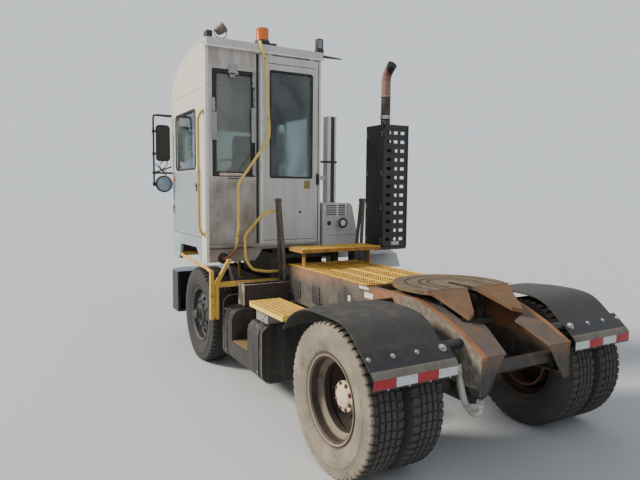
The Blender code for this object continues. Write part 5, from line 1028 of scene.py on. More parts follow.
def make_side_face():
    """Side door handle, side lamp and the feet of the side grab bar."""
    work = bmesh.new()
    outline = round_corners((2.735, 1.9), (2.845, 1.99), 0.02)
    add_prism(work, outline, "Y", CAB_LEFT + 0.0003, CAB_LEFT + 0.006)
    add_hose(work, [(2.75, CAB_LEFT + 0.004, 1.965), (2.768, CAB_LEFT + 0.022, 1.965),
                    (2.82, CAB_LEFT + 0.022, 1.965), (2.832, CAB_LEFT + 0.004, 1.965)], 0.007, 10)
    piece("side_door_handle", "door_side", "plastic", work)
    work = bmesh.new()
    add_turned(work, [(0.0, 0.018), (0.014, 0.016), (0.02, 0.008), (0.022, 0.0), (0.0, 0.0)],
               (3.7, CAB_LEFT + 0.0005, 2.04), "Y", 1, 24)
    piece("side_lamp", "door_side", "amber", work)
    work = bmesh.new()
    for x, z in ((2.565, 2.725), (2.545, 1.449)):
        add_box(work, (x - 0.022, CAB_LEFT + 0.0005, z - 0.03), (x + 0.022, CAB_LEFT + 0.004, z + 0.03),
                0.002)
        for up in (0.021, -0.021):
            add_bolt(work, (x, CAB_LEFT + 0.004, z + up), (0, 1, 0), 0.005)
    piece("side_bar_feet", "cab", "yellow", work)


def make_roof_lamps():
    """Ribbed beacon, round work lamp, square lamp's lens and small parts."""
    y = 0.571
    work = bmesh.new()
    add_box(work, (CAB_X - 0.03, y - 0.092, 3.46), (CAB_X + 0.112, y + 0.092, 3.484), 0.004)
    add_turned(work, [(0.0, 3.48), (0.082, 3.48), (0.084, 3.494), (0.078, 3.512), (0.0, 3.512)],
               (CAB_X + 0.04, y, 0), "Z", 1, 48)
    add_box(work, (CAB_X - 0.01, y - 0.15, 3.468), (CAB_X + 0.03, y - 0.085, 3.492), 0.005)
    base_piece = piece("beacon_foot", "cab", "plastic", work)
    work = bmesh.new()
    profile = [(0.0, 3.513), (0.07, 3.513)]
    for k in range(9):
        z = 3.52 + 0.0125 * k
        profile += [(0.07, z), (0.0675, z + 0.0055), (0.07, z + 0.011)]
    profile += [(0.066, 3.636), (0.054, 3.645), (0.03, 3.65), (0.0, 3.651)]
    add_turned(work, profile, (CAB_X + 0.04, y, 0), "Z", 1, 64)
    piece("beacon_lens", "cab", "amber", work)
    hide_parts("beacon")
    work = bmesh.new()
    middle = Vector((CAB_X + 0.045, CAB_LEFT - 0.185, 3.572))
    tilt = Vector((0.33, 0.72, -0.6)).normalized()
    side_way = Vector((0.72, -0.33, 0)).normalized()
    up_way = tilt.cross(side_way)

    def add_tilted(profile):
        """Skin (radius, offset) pairs about the work lamp's line of sight."""
        add_rings(work, [[middle + tilt * off + side_way * a + up_way * b
                          for a, b in round_places(40, radius, 0)] for radius, off in profile])

    add_tilted(((0.026, 0.062), (0.04, 0.05), (0.05, 0.02), (0.055, -0.03), (0.058, -0.038),
                (0.058, -0.048), (0.05, -0.05)))
    add_box(work, (CAB_X + 0.012, CAB_LEFT - 0.205, 3.462), (CAB_X + 0.058, CAB_LEFT - 0.155, 3.48), 0.004)
    for s in (1, -1):
        add_hose(work, [(CAB_X + 0.036, CAB_LEFT - 0.18 + s * 0.02, 3.474),
                        (CAB_X + 0.04, CAB_LEFT - 0.18 + s * 0.064, 3.51),
                        (CAB_X + 0.044, CAB_LEFT - 0.18 + s * 0.064, 3.566)], 0.005)
    lamp = piece("work_lamp_body", "cab", "can", work)
    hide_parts("work_lamp")
    work = bmesh.new()
    add_tilted(((0.048, -0.0505), (0.04, -0.055), (0.022, -0.058), (0.004, -0.059)))
    square = (CAB_RIGHT - 0.001, 3.502), (CAB_RIGHT + 0.061, 3.604)
    add_prism(work, round_corners(*square, 0.01), "X", CAB_X - 0.036, CAB_X - 0.0305)
    piece("lamp_lenses", "cab", "lens_dim", work)
    work = bmesh.new()
    add_box(work, (CAB_X - 0.044, CAB_LEFT - 0.07, 3.458), (CAB_X + 0.06, CAB_LEFT - 0.004, 3.526), 0.012)
    add_hose(work, [(CAB_X + 0.02, CAB_LEFT - 0.062, 3.48), (CAB_X + 0.05, CAB_LEFT - 0.1, 3.472),
                    (CAB_X + 0.05, CAB_LEFT - 0.16, 3.476)], 0.006)
    add_gasket(work, square, "X", CAB_X - 0.0303, 0.014, -0.012, 0.012)
    add_hose(work, [(CAB_X + 0.01, CAB_RIGHT + 0.03, 3.5), (CAB_X + 0.036, CAB_RIGHT + 0.05, 3.486),
                    (CAB_X + 0.06, CAB_RIGHT + 0.09, 3.47)], 0.005)
    piece("square_lamp_rim", "cab", "plastic", work)


def make_mirror_glass(word, side):
    """Faces painted with their reflections, rims and clamps of the two mirrors on one side, and the second
    bar of the stem.
    """
    wall = CAB_LEFT if side > 0 else CAB_RIGHT
    y0, y1 = sorted((wall + side * 0.036, wall + side * 0.177))
    back = MIRROR_X - 0.0203
    pane = (y0, 2.277), (y1, 2.686)
    work = bmesh.new()
    # Painted reflection on the tall mirror's face.
    add_prism(work, round_corners(*pane, 0.022), "X", back - 0.003, back)
    piece("mirror_face_" + word, "cab", "mirror", work)
    disc = (MIRROR_X - 0.0152, wall + side * 0.1, 1.985)
    dome = [(0.0, -0.026), (0.04, -0.0235), (0.075, -0.016), (0.092, -0.01), (0.092, 0.0), (0.0, 0.0)]
    work = bmesh.new()
    # Painted sky reflection on the round mirror's face.
    add_turned(work, dome, disc, "X", 1, 48)
    piece("mirror_round_" + word, "cab", "mirror_sky_reflection", work)
    work = bmesh.new()
    add_gasket(work, pane, "X", back - 0.0002, 0.024, -0.008, 0.028)
    add_turned(work, [(0.086, 0.0), (0.089, -0.02), (0.1, -0.02), (0.104, 0.0), (0.102, 0.03), (0.08, 0.05),
                      (0.03, 0.06), (0.0, 0.061), (0.0, 0.03), (0.09, 0.03)], disc, "X", 1, 48)
    stem_y = wall + side * 0.217
    for z in (1.985, 2.352, 2.622, 2.12):
        add_box(work, (MIRROR_X - 0.018, stem_y - 0.017, z - 0.018),
                (MIRROR_X + 0.018, stem_y + 0.017, z + 0.018), 0.004)
    face = wall - side * 0.014
    for low, bend, high in ((2.815, 2.818, 2.82), (2.12, 2.16, 2.2)):
        add_hose(work, [(MIRROR_X, stem_y, low), (MIRROR_X + 0.06, wall + side * 0.1, bend),
                        (MIRROR_X + 0.11, face - side * 0.012, high)], 0.009, 10)
    for start, bend, end in (((0.05, 2.262), (0.085, 2.19), (0.2, 2.11)),
                             ((0.11, 2.262), (0.15, 2.2), (0.07, 2.09)),
                             ((0.2, 2.23), (0.12, 2.15), (0.06, 2.15))):
        arm = zip((0.0, -0.012, 0.006), (start, bend, end))
        add_hose(work, [(MIRROR_X + ahead, wall + side * y, z) for ahead, (y, z) in arm], 0.006)
    piece("mirror_frames_" + word, "cab", "black", work)


def split_loop(loop, parts):
    """A closed outline with each of its sides split into parts."""
    return [(a + (c - a) * k / parts, b + (d - b) * k / parts)
            for (a, b), (c, d) in zip(loop, loop[1:] + loop[:1]) for k in range(parts)]


def make_windscreen_trim():
    """Seal round the sloping windscreen, and the wiper."""
    path = [(4.06, 2.78), (4.11, 2.405), (4.24, 1.65)]

    def front(z):
        """X of the nose's outer face at a height."""
        for (x0, z0), (x1, z1) in zip(path, path[1:]):
            if z >= z1:
                return x0 + (x1 - x0) * (z - z0) / (z1 - z0)
        return path[-1][0]

    screen = (0.01, 1.72), (1.08, 2.7)
    work = bmesh.new()
    inner = round_corners(*grow(screen, -0.008), 0.03, 6)
    outer = round_corners(*grow(screen, 0.016), 0.05, 6)
    dense = 8
    rings = []
    for (a, b), (c, d) in zip(split_loop(inner, dense), split_loop(outer, dense)):
        ring = []
        for share, height in ((0.0, -0.001), (0.3, 0.009), (0.7, 0.009), (1.0, -0.001)):
            y, z = a + (c - a) * share, b + (d - b) * share
            ring.append(Vector((front(z) + 0.001 + height, y, z)))
        rings.append(ring)
    add_rings(work, rings, along=True)
    piece("seal_windscreen", "cab", "seal", work)
    pivot_y, pivot_z = 0.56, 1.64
    work = bmesh.new()
    add_turned(work, [(0.0, 0.05), (0.016, 0.048), (0.02, 0.02), (0.026, 0.0), (0.0, 0.0)],
               (front(pivot_z) + 0.001, pivot_y, pivot_z), "X", 1, 24)
    blade = [(front(z) + 0.022, pivot_y + y, z) for y, z in ((0.1, 1.78), (0.17, 2.05), (0.24, 2.32))]
    add_hose(work, [(front(pivot_z) + 0.04, pivot_y, pivot_z), (front(1.8) + 0.046, 0.61, 1.84),
                    (front(2.05) + 0.024, 0.73, 2.05)], 0.006)
    add_hose(work, blade, 0.007)
    piece("wiper", "cab", "plastic", work)


# Seat

SEAT_X, SEAT_Y, FLOOR_Z = 3.22, 0.54, 1.332


def pillow(work, low, high, crown, channels=0, cuts=18, axis=0):
    """A closed cushion form between two corners: crowned, pulled in at its sides, with sewn channels."""
    low, high = Vector(low), Vector(high)
    rings = []
    for i in range(cuts + 1):
        u = 2 * i / cuts - 1
        ring = []
        for k in range(28):
            angle = 2 * math.pi * (k + 0.5) / 28
            c, s = math.cos(angle), math.sin(angle)
            v = math.copysign(abs(c) ** 0.35, c)
            w = math.copysign(abs(s) ** 0.35, s)
            pull = 1 - 0.05 * (1 - u * u)
            edge = (1 - abs(u) ** 5) ** 0.5 if abs(u) < 1 else 0.0
            seam = channels and 0.05 * abs(math.sin(math.pi * channels * (u + 1) / 2)) ** 0.4
            height = (0.6 + 0.34 * edge + seam * edge) * (1 + crown * (1 - v * v) * (w > 0))
            ring.append((u, v * pull * (0.86 + 0.14 * edge), w * height))
        rings.append(ring)
    middle, half = (low + high) / 2, (high - low) / 2
    place = {0: lambda u, v, w: Vector((u, v, w)), 2: lambda u, v, w: Vector((w, v, u))}[axis]
    made = []
    for ring in rings:
        points = [place(*p) for p in ring]
        made.append([middle + Vector((p.x * half.x, p.y * half.y, p.z * half.z)) for p in points])
    add_rings(work, made)


def settle(made, push, steps=20, cap=0.012):
    """Swell a cushion with a short cloth simulation, no point moving further than cap."""
    remesh = made.modifiers.new("even", "REMESH")
    remesh.mode = "VOXEL"
    remesh.voxel_size = 0.01
    bake(made)
    before = [v.co.copy() for v in made.data.vertices]
    fabric = made.modifiers.new("fabric", "CLOTH")
    fabric.settings.use_pressure = True
    fabric.settings.uniform_pressure_force = push
    fabric.settings.effector_weights.gravity = 0.0
    fabric.settings.mass = 0.3
    scene = bpy.context.scene
    for number in range(1, steps + 1):
        scene.frame_set(number)
    bake(made)
    scene.frame_set(1)
    for old, vert in zip(before, made.data.vertices):
        move = vert.co - old
        if move.length > cap:
            vert.co = old + move.normalized() * cap
    made.modifiers.new("fine", "SUBSURF").levels = 1
    bake(made)
    made.data.shade_smooth()


def make_seat():
    """Padded cushion and backrest with sewn channels, on a bellows pedestal."""
    x, y, z = SEAT_X, SEAT_Y, FLOOR_Z
    work = bmesh.new()
    pillow(work, (x - 0.245, y - 0.245, z + 0.372), (x + 0.25, y + 0.245, z + 0.492), 0.14, 4)
    cushion = piece("seat_cushion", "cab", "seat", work, 180)
    work = bmesh.new()
    pillow(work, (x - 0.055, y - 0.235, z + 0.505), (x + 0.055, y + 0.235, z + 1.215), 0.14, 6, axis=2)
    to_hinge, lean = Matrix.Translation(-at(x, y, z + 0.86)), Matrix.Rotation(math.radians(-7.5), 4, "Y")
    back = piece("seat_back", "cab", "seat", work, 180)
    back.data.transform(Matrix.Translation(at(x - 0.23, y, z + 0.86)) @ lean @ to_hinge)
    for pad in (cushion, back):
        settle(pad, 4.0)
    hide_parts("seat")
    work = bmesh.new()
    folds = [(0.0, 0.06)]
    for k in range(7):
        folds += [(0.15, 0.07 + 0.036 * k), (0.172, 0.088 + 0.036 * k)]
    folds += [(0.15, 0.325), (0.0, 0.33)]
    add_turned(work, [(r, o + z) for r, o in folds], (x - 0.02, y + 0.01, 0), "Z", 1, 32)
    add_box(work, (x - 0.19, y - 0.19, z + 0.0005), (x + 0.15, y + 0.21, z + 0.062), 0.012)
    add_box(work, (x - 0.215, y - 0.215, z + 0.33), (x + 0.215, y + 0.215, z + 0.385), 0.014)
    for s in (1, -1):
        add_hose(work, [(x - 0.19, y + s * 0.225, z + 0.36), (x - 0.235, y + s * 0.232, z + 0.48),
                        (x - 0.255, y + s * 0.205, z + 0.64)], 0.012, 10)
    add_box(work, (x - 0.02, y - 0.3, z + 0.395), (x + 0.05, y - 0.262, z + 0.43), 0.008)
    piece("seat_frame", "cab", "plastic", work)


def make_dash_parts():
    """Instruments, switch rows and lever on the dash."""
    face = CAB_X + 1.35
    dials = [(face, y, 1.88) for y in (0.43, 0.54, 0.65)]
    work = bmesh.new()
    for dial in dials:
        add_turned(work, [(0.0, -0.012), (0.036, -0.012), (0.042, -0.006), (0.044, 0.0), (0.0, 0.0)], dial,
                   "X", 1, 32)
    for k in range(8):
        add_box(work, (face - 0.01, 0.08 + 0.042 * k, 1.76), (face, 0.108 + 0.042 * k, 1.8), 0.003)
    add_hose(work, [(face + 0.02, 0.25, 1.99), (face - 0.02, 0.25, 2.12), (face - 0.05, 0.25, 2.2)], 0.01, 10)
    piece("dash_switches", "cab", "plastic", work)
    work = bmesh.new()
    for dial in dials:
        add_turned(work, [(0.0, -0.0135), (0.033, -0.0135), (0.034, -0.012), (0.0, -0.012)], dial, "X", 1, 32)
    piece("dash_dials", "cab", "white", work)


# Exhaust and cowl

def make_exhaust_parts():
    """Edge frame, brace, bolts and blank label of the exhaust guard, and the stack's clamps."""
    y0, y1, x0 = -1.1, -0.75, 2.13
    stack_x, stack_y = 2.3, -0.89
    work = bmesh.new()
    for z in (1.285, 2.655):
        add_box(work, (x0 - 0.004, y0 - 0.002, z - 0.015), (x0 + 0.002, y1 + 0.002, z + 0.015), 0.001)
    for y in (y0 + 0.006, y1 - 0.006):
        add_box(work, (x0 - 0.004, y - 0.01, 1.27), (x0 + 0.002, y + 0.01, 2.68), 0.001)
    add_hose(work, [(x0 + 0.006, y1 - 0.01, 2.64), (x0 + 0.06, y1 - 0.06, 2.71), (2.286, -0.845, 2.74)],
             0.012, 10)
    add_tube(work, [(x0 - 0.004, y1 - 0.02, 2.56), (x0 - 0.004, y1 - 0.005, 2.3),
                    (x0 - 0.004, y1 - 0.01, 1.42)], 0.007, 8)
    piece("guard_frame", "chassis", "black", work)
    work = bmesh.new()
    add_turned(work, [(0.057, -0.02), (0.062, -0.02), (0.062, 0.02), (0.057, 0.02)],
               (stack_x, stack_y, 2.78), "Z", 1, 40, closed=True)
    add_box(work, (2.228, -0.9, 2.768), (2.246, -0.88, 2.792), 0.002)
    add_turned(work, [(0.057, -0.004), (0.061, -0.004), (0.061, 0.004), (0.057, 0.004)],
               (stack_x, stack_y, 3.02), "Z", 1, 40, closed=True)
    piece("stack_clamp", "chassis", "steel", work)
    work = bmesh.new()
    for z in (1.33, 1.36, 1.72, 1.75, 2.11, 2.14, 2.56, 2.59):
        for x in (2.16, 2.45):
            add_bolt(work, (x, y1, z), (0, 1, 0), 0.008)
    piece("guard_bolts", "chassis", "steel", work)
    work = bmesh.new()
    add_box(work, (x0 - 0.0055, -0.99, 1.292), (x0 - 0.0042, -0.88, 1.334), 0.0004)
    piece("guard_label", "chassis", "white", work)


def make_cowl_parts():
    """Filler port, hole, bars, bolts and latch of the engine cowl, and the duct's edges and clamp."""
    (face, _, _), (_, _, top) = corners("engine_cowl")
    port = (face, -0.357, 1.551)
    work = bmesh.new()
    ring = [(0.036, -0.01), (0.04, -0.018), (0.055, -0.018), (0.06, -0.01), (0.06, 0.0), (0.036, 0.0)]
    add_turned(work, ring, port, "X", 1, 48, closed=True)
    add_turned(work, [(0.0, -0.002), (0.026, -0.002), (0.028, 0.0), (0.0, 0.0)], (face, -0.175, 1.55), "X",
               1, 24)
    add_box(work, (face - 0.001, -0.62, 1.411), (face + 0.001, -0.143, 1.415))
    piece("cowl_port", "chassis", "plastic", work)
    work = bmesh.new()
    add_turned(work, [(0.0, -0.0145), (0.03, -0.014), (0.0355, -0.0115), (0.0355, -0.004), (0.0, -0.004)],
               port, "X", 1, 40)
    for y in (-0.284, -0.4):
        add_box(work, (face - 0.002, y - 0.009, 1.63), (face + 0.006, y + 0.009, 1.765), 0.0008)
    piece("cowl_bars", "chassis", "cab_white_and_highlight", work)
    work = bmesh.new()
    for y in (-0.16, -0.48):
        for z in (1.3, 1.48, 1.61):
            add_bolt(work, (face, y, z), (-1, 0, 0), 0.006)
    for y, z in ((-0.218, 1.479), (-0.279, 1.472)):
        add_bolt(work, (face, y, z), (-1, 0, 0), 0.004)
    piece("cowl_bolts", "chassis", "steel", work)
    work = bmesh.new()
    add_box(work, (face + 0.004, -0.138, top - 0.08), (face + 0.08, -0.1335, top - 0.05), 0.001)
    add_hose(work, [(face + 0.02, -0.136, top - 0.03), (face + 0.02, -0.126, top - 0.06),
                    (face + 0.02, -0.134, top - 0.11)], 0.006)
    (edge_x, right, foot), (_, left, roof) = corners("duct")
    # Painted highlight: bright strips along the duct's edges.
    for y0, y1 in ((-0.268, -0.24), (right, right + 0.014)):
        add_box(work, (edge_x - 0.0025, y0, foot + 0.01), (edge_x + 0.001, y1, roof - 0.005), 0.001)
    piece("duct_edges", "cab", "cab_white_and_highlight", work)
    work = bmesh.new()
    add_box(work, (edge_x - 0.0012, -0.316, foot + 0.004), (edge_x + 0.001, -0.2685, roof - 0.002))
    add_box(work, (edge_x - 0.006, right - 0.01, 2.238), (edge_x + 0.03, left - 0.006, 2.262), 0.003)
    piece("duct_clamp", "cab", "black", work)


# Deck and steps

def add_teeth(work, x0, x1, y0, y1, top, pitch=0.03, tall=0.006):
    """Rows of raised grip teeth on a tread."""
    rows = max(2, int((y1 - y0) / pitch))
    count = max(2, int((x1 - x0) / pitch))
    square = ((-1, -1), (1, -1), (1, 1), (-1, 1))
    for row in range(rows + 1):
        y = y0 + (y1 - y0) * row / rows
        for k in range(count + 1):
            x = x0 + (x1 - x0) * (k + 0.5 * (row % 2)) / (count + 0.5)
            rings = []
            for half, level in ((pitch * 0.22, top - 0.002), (pitch * 0.11, top + tall)):
                rings.append([Vector((x + half * i, y + half * 0.6 * j, level)) for i, j in square])
            add_rings(work, rings)


def make_treads():
    """Teeth and ribs of the deck, catwalk and step plank, and the rusty tread in the tank's step."""
    (x0, y0, _), (x1, y1, top) = corners("deck_grating")
    work = bmesh.new()
    seam = 1.65
    planks = 4
    wide = (y1 - y0) / planks
    for start, end in ((x0 + 0.004, seam - 0.004), (seam + 0.004, x1 - 0.004)):
        for k in range(planks):
            a, b = y0 + wide * k + 0.004, y0 + wide * (k + 1) - 0.004
            for c, d in ((a, a + 0.01), (b - 0.01, b)):
                add_box(work, (start, c, top - 0.001), (end, d, top + 0.006), 0.0015)
            add_teeth(work, start + 0.02, end - 0.02, a + 0.028, b - 0.028, top, 0.034)
    piece("deck_teeth", "chassis", "yellow_deck", work)
    (x0, y0, _), (x1, y1, top) = corners("catwalk")
    work = bmesh.new()
    add_teeth(work, x0 + 0.02, x1 - 0.02, y0 + 0.02, y1 - 0.02, top, 0.032)
    for c in (x0 + 0.001, x1 - 0.011):
        add_box(work, (c, y0 + 0.002, top - 0.001), (c + 0.01, y1 - 0.002, top + 0.006), 0.0015)
    piece("catwalk_teeth", "chassis", "yellow_deck", work)
    (x0, y0, _), (x1, y1, top) = corners("step_plank")
    work = bmesh.new()
    ribs = 6
    pitch = (y1 - y0) / ribs
    for i in range(1, ribs):
        y = y0 + pitch * i
        add_box(work, (x0 + 0.024, y - 0.008, top - 0.014), (x1 - 0.024, y + 0.008, top - 0.0085), 0.001)
    piece("plank_grooves", "chassis", "groove", work)
    work = bmesh.new()
    for i in range(ribs):
        y = y0 + pitch * (i + 0.5)
        add_teeth(work, x0 + 0.03, x1 - 0.03, y - 0.004, y + 0.004, top, 0.036, 0.004)
    piece("plank_teeth", "chassis", "yellow_deck", work)
    front = corners("step_tank")[1][0]
    x0, x1, top = front - 0.67, front - 0.26, 0.42
    work = bmesh.new()
    add_box(work, (x0 + 0.002, 0.802, top + 0.0004), (x1 - 0.002, 1.112, top + 0.006), 0.001)
    for k in range(11):
        y = 0.815 + 0.028 * k
        add_tube(work, [(x0 + 0.004 + (x1 - x0 - 0.008) * j / 16, y + (0.008 if j % 2 else -0.008),
                         top + 0.007) for j in range(17)], 0.0035, 6)
    piece("well_tread", "chassis", "groove", work)


def make_tank_parts(word, side):
    """Bolts, filler cap, drain and light rims of a side tank."""
    (x0, _, z0), (x1, _, z1) = corners("step_tank" if side > 0 else "fuel_tank_right")
    outer = 1.12
    work = bmesh.new()
    for x in (x0 + 0.068, x1 - 0.122):
        for z in (z0 + 0.1, z1 - 0.12):
            add_bolt(work, (x + 0.014, side * (outer + 0.0062), z), (0, side, 0), 0.008)
    piece("tank_bolts_" + word, "chassis", "steel", work)
    work = bmesh.new()
    if side > 0:
        add_turned(work, [(0.0, 0.034), (0.036, 0.034), (0.044, 0.03), (0.046, 0.0), (0.0, 0.0)],
                   (x0 + 0.23, 0.7, z1), "Z", 1, 40)
        add_box(work, (x0 + 0.19, 0.694, z1 + 0.034), (x0 + 0.27, 0.706, z1 + 0.042), 0.003)
        add_turned(work, [(0.0, -0.03), (0.014, -0.028), (0.016, 0.0), (0.0, 0.0)], (x0 + 0.18, 0.96, z0),
                   "Z", 1, 20)
        add_hose(work, [(x0 + 0.18, 0.96, z0 - 0.014), (x0 + 0.16, 1.0, z0 - 0.03),
                        (x0 + 0.13, 1.02, z0 - 0.02)], 0.008)
    else:
        add_turned(work, [(0.0, 0.04), (0.04, 0.04), (0.05, 0.034), (0.052, 0.0), (0.0, 0.0)],
                   (x0 + 0.5, side * 0.86, z1), "Z", 1, 40)
    piece("tank_cap_" + word, "chassis", "black", work)
    work = bmesh.new()
    rims = (x0, x0 + 0.33, x0 + 0.74, x1 - 0.01) if side > 0 else (x0, x1 - 0.01)
    for x in rims:
        section = []
        for grow in (0.0015, -0.004):
            section.append(round_corners((0.56 - grow, z0 - grow), (outer + grow, z1 + grow), 0.1 + grow, 8))
        rings = []
        for a, b in zip(*section):
            strip = ((-0.0012, a), (0.011, a), (0.011, b), (-0.0012, b))
            rings.append([Vector((x + off, side * y, z)) for off, (y, z) in strip])
        well = side > 0 and x0 + 0.32 < x + 0.005 < x1 - 0.25
        if not well:
            add_rings(work, rings, along=True)
    piece("tank_rims_" + word, "chassis", "tank_rim", work)


# Frame and fifth wheel

def make_frame_parts():
    """Bolts and brackets of the frame, gaps between the springs' leaves, and blank tags."""
    outer = FRAME_OUT
    work = bmesh.new()
    for side in (1, -1):
        y = side * outer
        groups = ((1.5, 0.84, 3, 2), (1.9, 0.84, 3, 2), (0.96, 0.86, 2, 2), (0.55, 0.7, 2, 3),
                  (-0.52, 0.69, 1, 3), (2.56, 0.76, 2, 2), (3.56, 0.76, 2, 2))
        for x, z, across, up in groups:
            for i in range(across):
                for k in range(up):
                    add_bolt(work, (x + 0.06 * i, y, z + 0.06 * k), (0, side, 0), 0.01)
        for z in (0.955, 0.985, 1.08, 1.11):
            for x in (2.16, 2.28):
                add_bolt(work, (x, side * 0.48, z - 0.03), (0, side, 0), 0.007)
        for dx in (-0.076, 0.076):
            for dy in (-0.05, 0.05):
                place = (WHEELBASE + dx, side * (0.385 + dy), 0.72)
                add_tube(work, [place, (place[0], place[1], 0.4)], 0.008, 8)
    piece("frame_bolts", "chassis", "bolt", work)
    work = bmesh.new()
    for side in (1, -1):
        y = side * (outer - 0.045)
        for step in range(3):
            reach = 0.56 - 0.13 * step
            z = 0.615 - 0.012 * step
            arc = [(WHEELBASE + reach * t / 6, y, z + 0.03 * (t / 6) ** 2) for t in range(-6, 7)]
            add_tube(work, arc, 0.0045, 6)
    piece("spring_gaps", "chassis", "black", work)
    work = bmesh.new()
    for side in (1, -1):
        y = side * (outer + 0.0005)
        for x0, x1, thick, z0, z1 in ((1.485, 1.64, 0.006, 0.82, 0.99), (1.885, 2.04, 0.006, 0.82, 0.99),
                                      (0.53, 0.64, 0.008, 0.67, 0.85)):
            y0, y1 = sorted((y, y + side * thick))
            add_box(work, (x0, y0, z0), (x1, y1, z1), 0.002)
    piece("frame_brackets", "chassis", "chassis", work)
    work = bmesh.new()
    for x0, x1, z0, z1 in ((0.655, 0.8, 1.098, 1.12), (0.59, 0.72, 1.03, 1.078),
                           (0.938, 0.978, 0.955, 1.005)):
        add_box(work, (x0, outer + 0.0005, z0), (x1, outer + 0.004, z1), 0.001)
    piece("frame_tags", "chassis", "cab_white_and_highlight", work)


def make_fifth_wheel_parts():
    """Grooves, jaws, release handle and pins of the turntable plate, and caps on the boom's pivot."""
    centre, top = (0.15, 0.0), 1.207
    work = bmesh.new()
    for radius, end_x in ((0.175, -0.06), (0.24, -0.06), (0.35, -0.05)):
        wide = 0.015
        sides = [[(end_x, -r)] + arc_points(centre, r, -90, 90, 40) + [(end_x, r)]
                 for r in (radius, radius + wide)]
        add_prism(work, sides[0] + sides[1][::-1], "Z", top - 0.003, top + 0.0012)
    for side in (1, -1):
        add_prism(work, [(-0.064, side * 0.04), (-0.064, side * 0.435), (-0.07, side * 0.435),
                         (-0.07, side * 0.04)], "Z", top - 0.002, top + 0.0012)
    piece("plate_grooves", "fifth_wheel", "grease", work)
    work = bmesh.new()
    jaw = arc_points(centre, 0.06, -120, 120, 20)
    inner = arc_points(centre, 0.034, -110, 110, 20)
    add_prism(work, jaw + inner[::-1], "Z", top - 0.046, top - 0.0305)
    add_hose(work, [(0.15, -0.15, top - 0.05), (0.14, -0.33, top - 0.06), (0.11, -0.46, top - 0.064)], 0.009)
    add_hose(work, [(0.11, -0.455, top - 0.064), (0.06, -0.47, top - 0.066), (0.05, -0.43, top - 0.066),
                    (0.1, -0.425, top - 0.064)], 0.007)
    piece("plate_jaws", "fifth_wheel", "grease", work)
    work = bmesh.new()
    for side in (1, -1):
        add_turned(work, [(0.0, 0.018), (0.03, 0.016), (0.034, 0.0), (0.0, 0.0)],
                   (0.12, side * 0.2575, 1.085), "Y", side, 32)
        add_bolt(work, (0.12, side * 0.274, 1.085), (0, side, 0), 0.01)
    piece("plate_pins", "fifth_wheel", "steel", work)
    work = bmesh.new()
    for side in (1, -1):
        add_turned(work, [(0.0, 0.014), (0.046, 0.012), (0.05, 0.0), (0.0, 0.0)], (0.9, side * 0.246, 0.88),
                   "Y", side, 40)
        add_bolt(work, (0.9, side * 0.259, 0.88), (0, side, 0), 0.012)
    piece("boom_caps", "boom", "steel", work)


def make_bumper_parts():
    """Headlamps with bezels, turn lamps and bolts of the front bumper."""
    face = corners("front_bumper")[1][0]
    for word, side in SIDES:
        centre = (face - 0.02, side * 0.88, 0.64)
        work = bmesh.new()
        add_turned(work, [(0.072, -0.004), (0.086, -0.004), (0.092, 0.012), (0.088, 0.0215),
                          (0.078, 0.0215), (0.072, 0.01)], centre, "X", 1, 48, closed=True)
        piece("headlamp_rim_" + word, "chassis", "steel", work)
        work = bmesh.new()
        add_turned(work, [(0.0, 0.019), (0.03, 0.017), (0.06, 0.01), (0.073, 0.002), (0.073, -0.004),
                          (0.0, -0.004)], centre, "X", 1, 48)
        piece("headlamp_lens_" + word, "chassis", "lens", work)
        work = bmesh.new()
        y0, y1 = sorted((side * 0.7, side * 0.77))
        add_box(work, (face - 0.003, y0, 0.61), (face + 0.006, y1, 0.67), 0.006)
        piece("turn_lamp_" + word, "chassis", "amber", work)
    work = bmesh.new()
    for y in [-0.52, -0.26, 0.26, 0.52]:
        for z in (0.48, 0.72):
            add_bolt(work, (face, y, z), (1, 0, 0), 0.012)
    piece("bumper_bolts", "chassis", "bolt", work)


# The CAD nodes' finishes

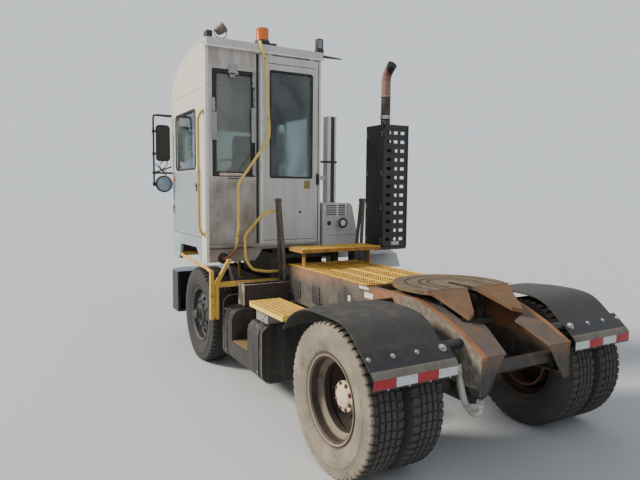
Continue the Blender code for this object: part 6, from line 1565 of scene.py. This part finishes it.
NODE_FINISH = {"frame": "frame", "front_axle": "chassis", "rear_axle": "chassis", "engine_block": "iron",
               "deck_grating": "deck_base", "catwalk": "deck_base", "step_tank": "tank",
               "step_plank": "plank", "fuel_tank_right": "tank", "exhaust_guard": "black",
               "exhaust_stack": "pipe", "engine_cowl": "cab", "front_bumper": "bumper",
               "bracket_post": "yellow", "yellow_tube": "tube", "mudguard_left": "rubber",
               "mudguard_right": "rubber", "cab_floor": "plastic", "cab_wall_left": "cab_side_sunlit",
               "cab_wall_right": "cab_side_sunlit", "cab_wall_rear": "cab_rear_shaded", "cab_roof": "cab",
               "cab_nose": "cab_side_sunlit", "windscreen": "glass", "glass_rear": "glass_hazy",
               "glass_right": "glass", "seat": "seat", "dash": "plastic", "mirror_left": "black",
               "mirror_right": "black", "beacon": "amber", "work_lamp": "black", "roof_bracket": "black",
               "grab_rail_rear": "rail", "side_grab_bar": "yellow", "duct": "cab", "door_side": "cab_side_sunlit",
               "glass_door_side": "glass", "door_rear": "cab", "glass_door_rear": "glass",
               "knuckle_left": "iron", "knuckle_right": "iron", "tie_rod": "chassis", "boom": "chassis",
               "fifth_wheel": "plate", "lift_barrels": "black", "lift_rods": "steel"}


def dress_nodes():
    for name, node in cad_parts.items():
        finish = NODE_FINISH.get(name) or ("tyre" if name.startswith("tyre") else "rim")
        node.data.materials.clear()
        node.data.materials.append(FINISHES[finish])


def make_pieces():
    make_wheels()
    for word, side in SIDES:
        make_mudguard(word, side)
        make_mirror_glass(word, side)
        make_tank_parts(word, side)
    make_window_seals()
    make_tape()
    make_rear_face()
    make_side_face()
    make_roof_lamps()
    make_windscreen_trim()
    make_seat()
    make_dash_parts()
    make_exhaust_parts()
    make_cowl_parts()
    make_treads()
    make_frame_parts()
    make_fifth_wheel_parts()
    make_bumper_parts()


def main():
    add_camera()
    add_world()
    add_floor()
    add_sun("sun", (-0.42, -0.72, -0.55), 4.5, 0.25, (1.0, 0.93, 0.82))
    add_sun("fill", (0.75, -0.25, -0.6), 0.35, 1.2, (0.9, 0.95, 1.0))
    make_finishes()
    dress_nodes()
    make_pieces()


main()
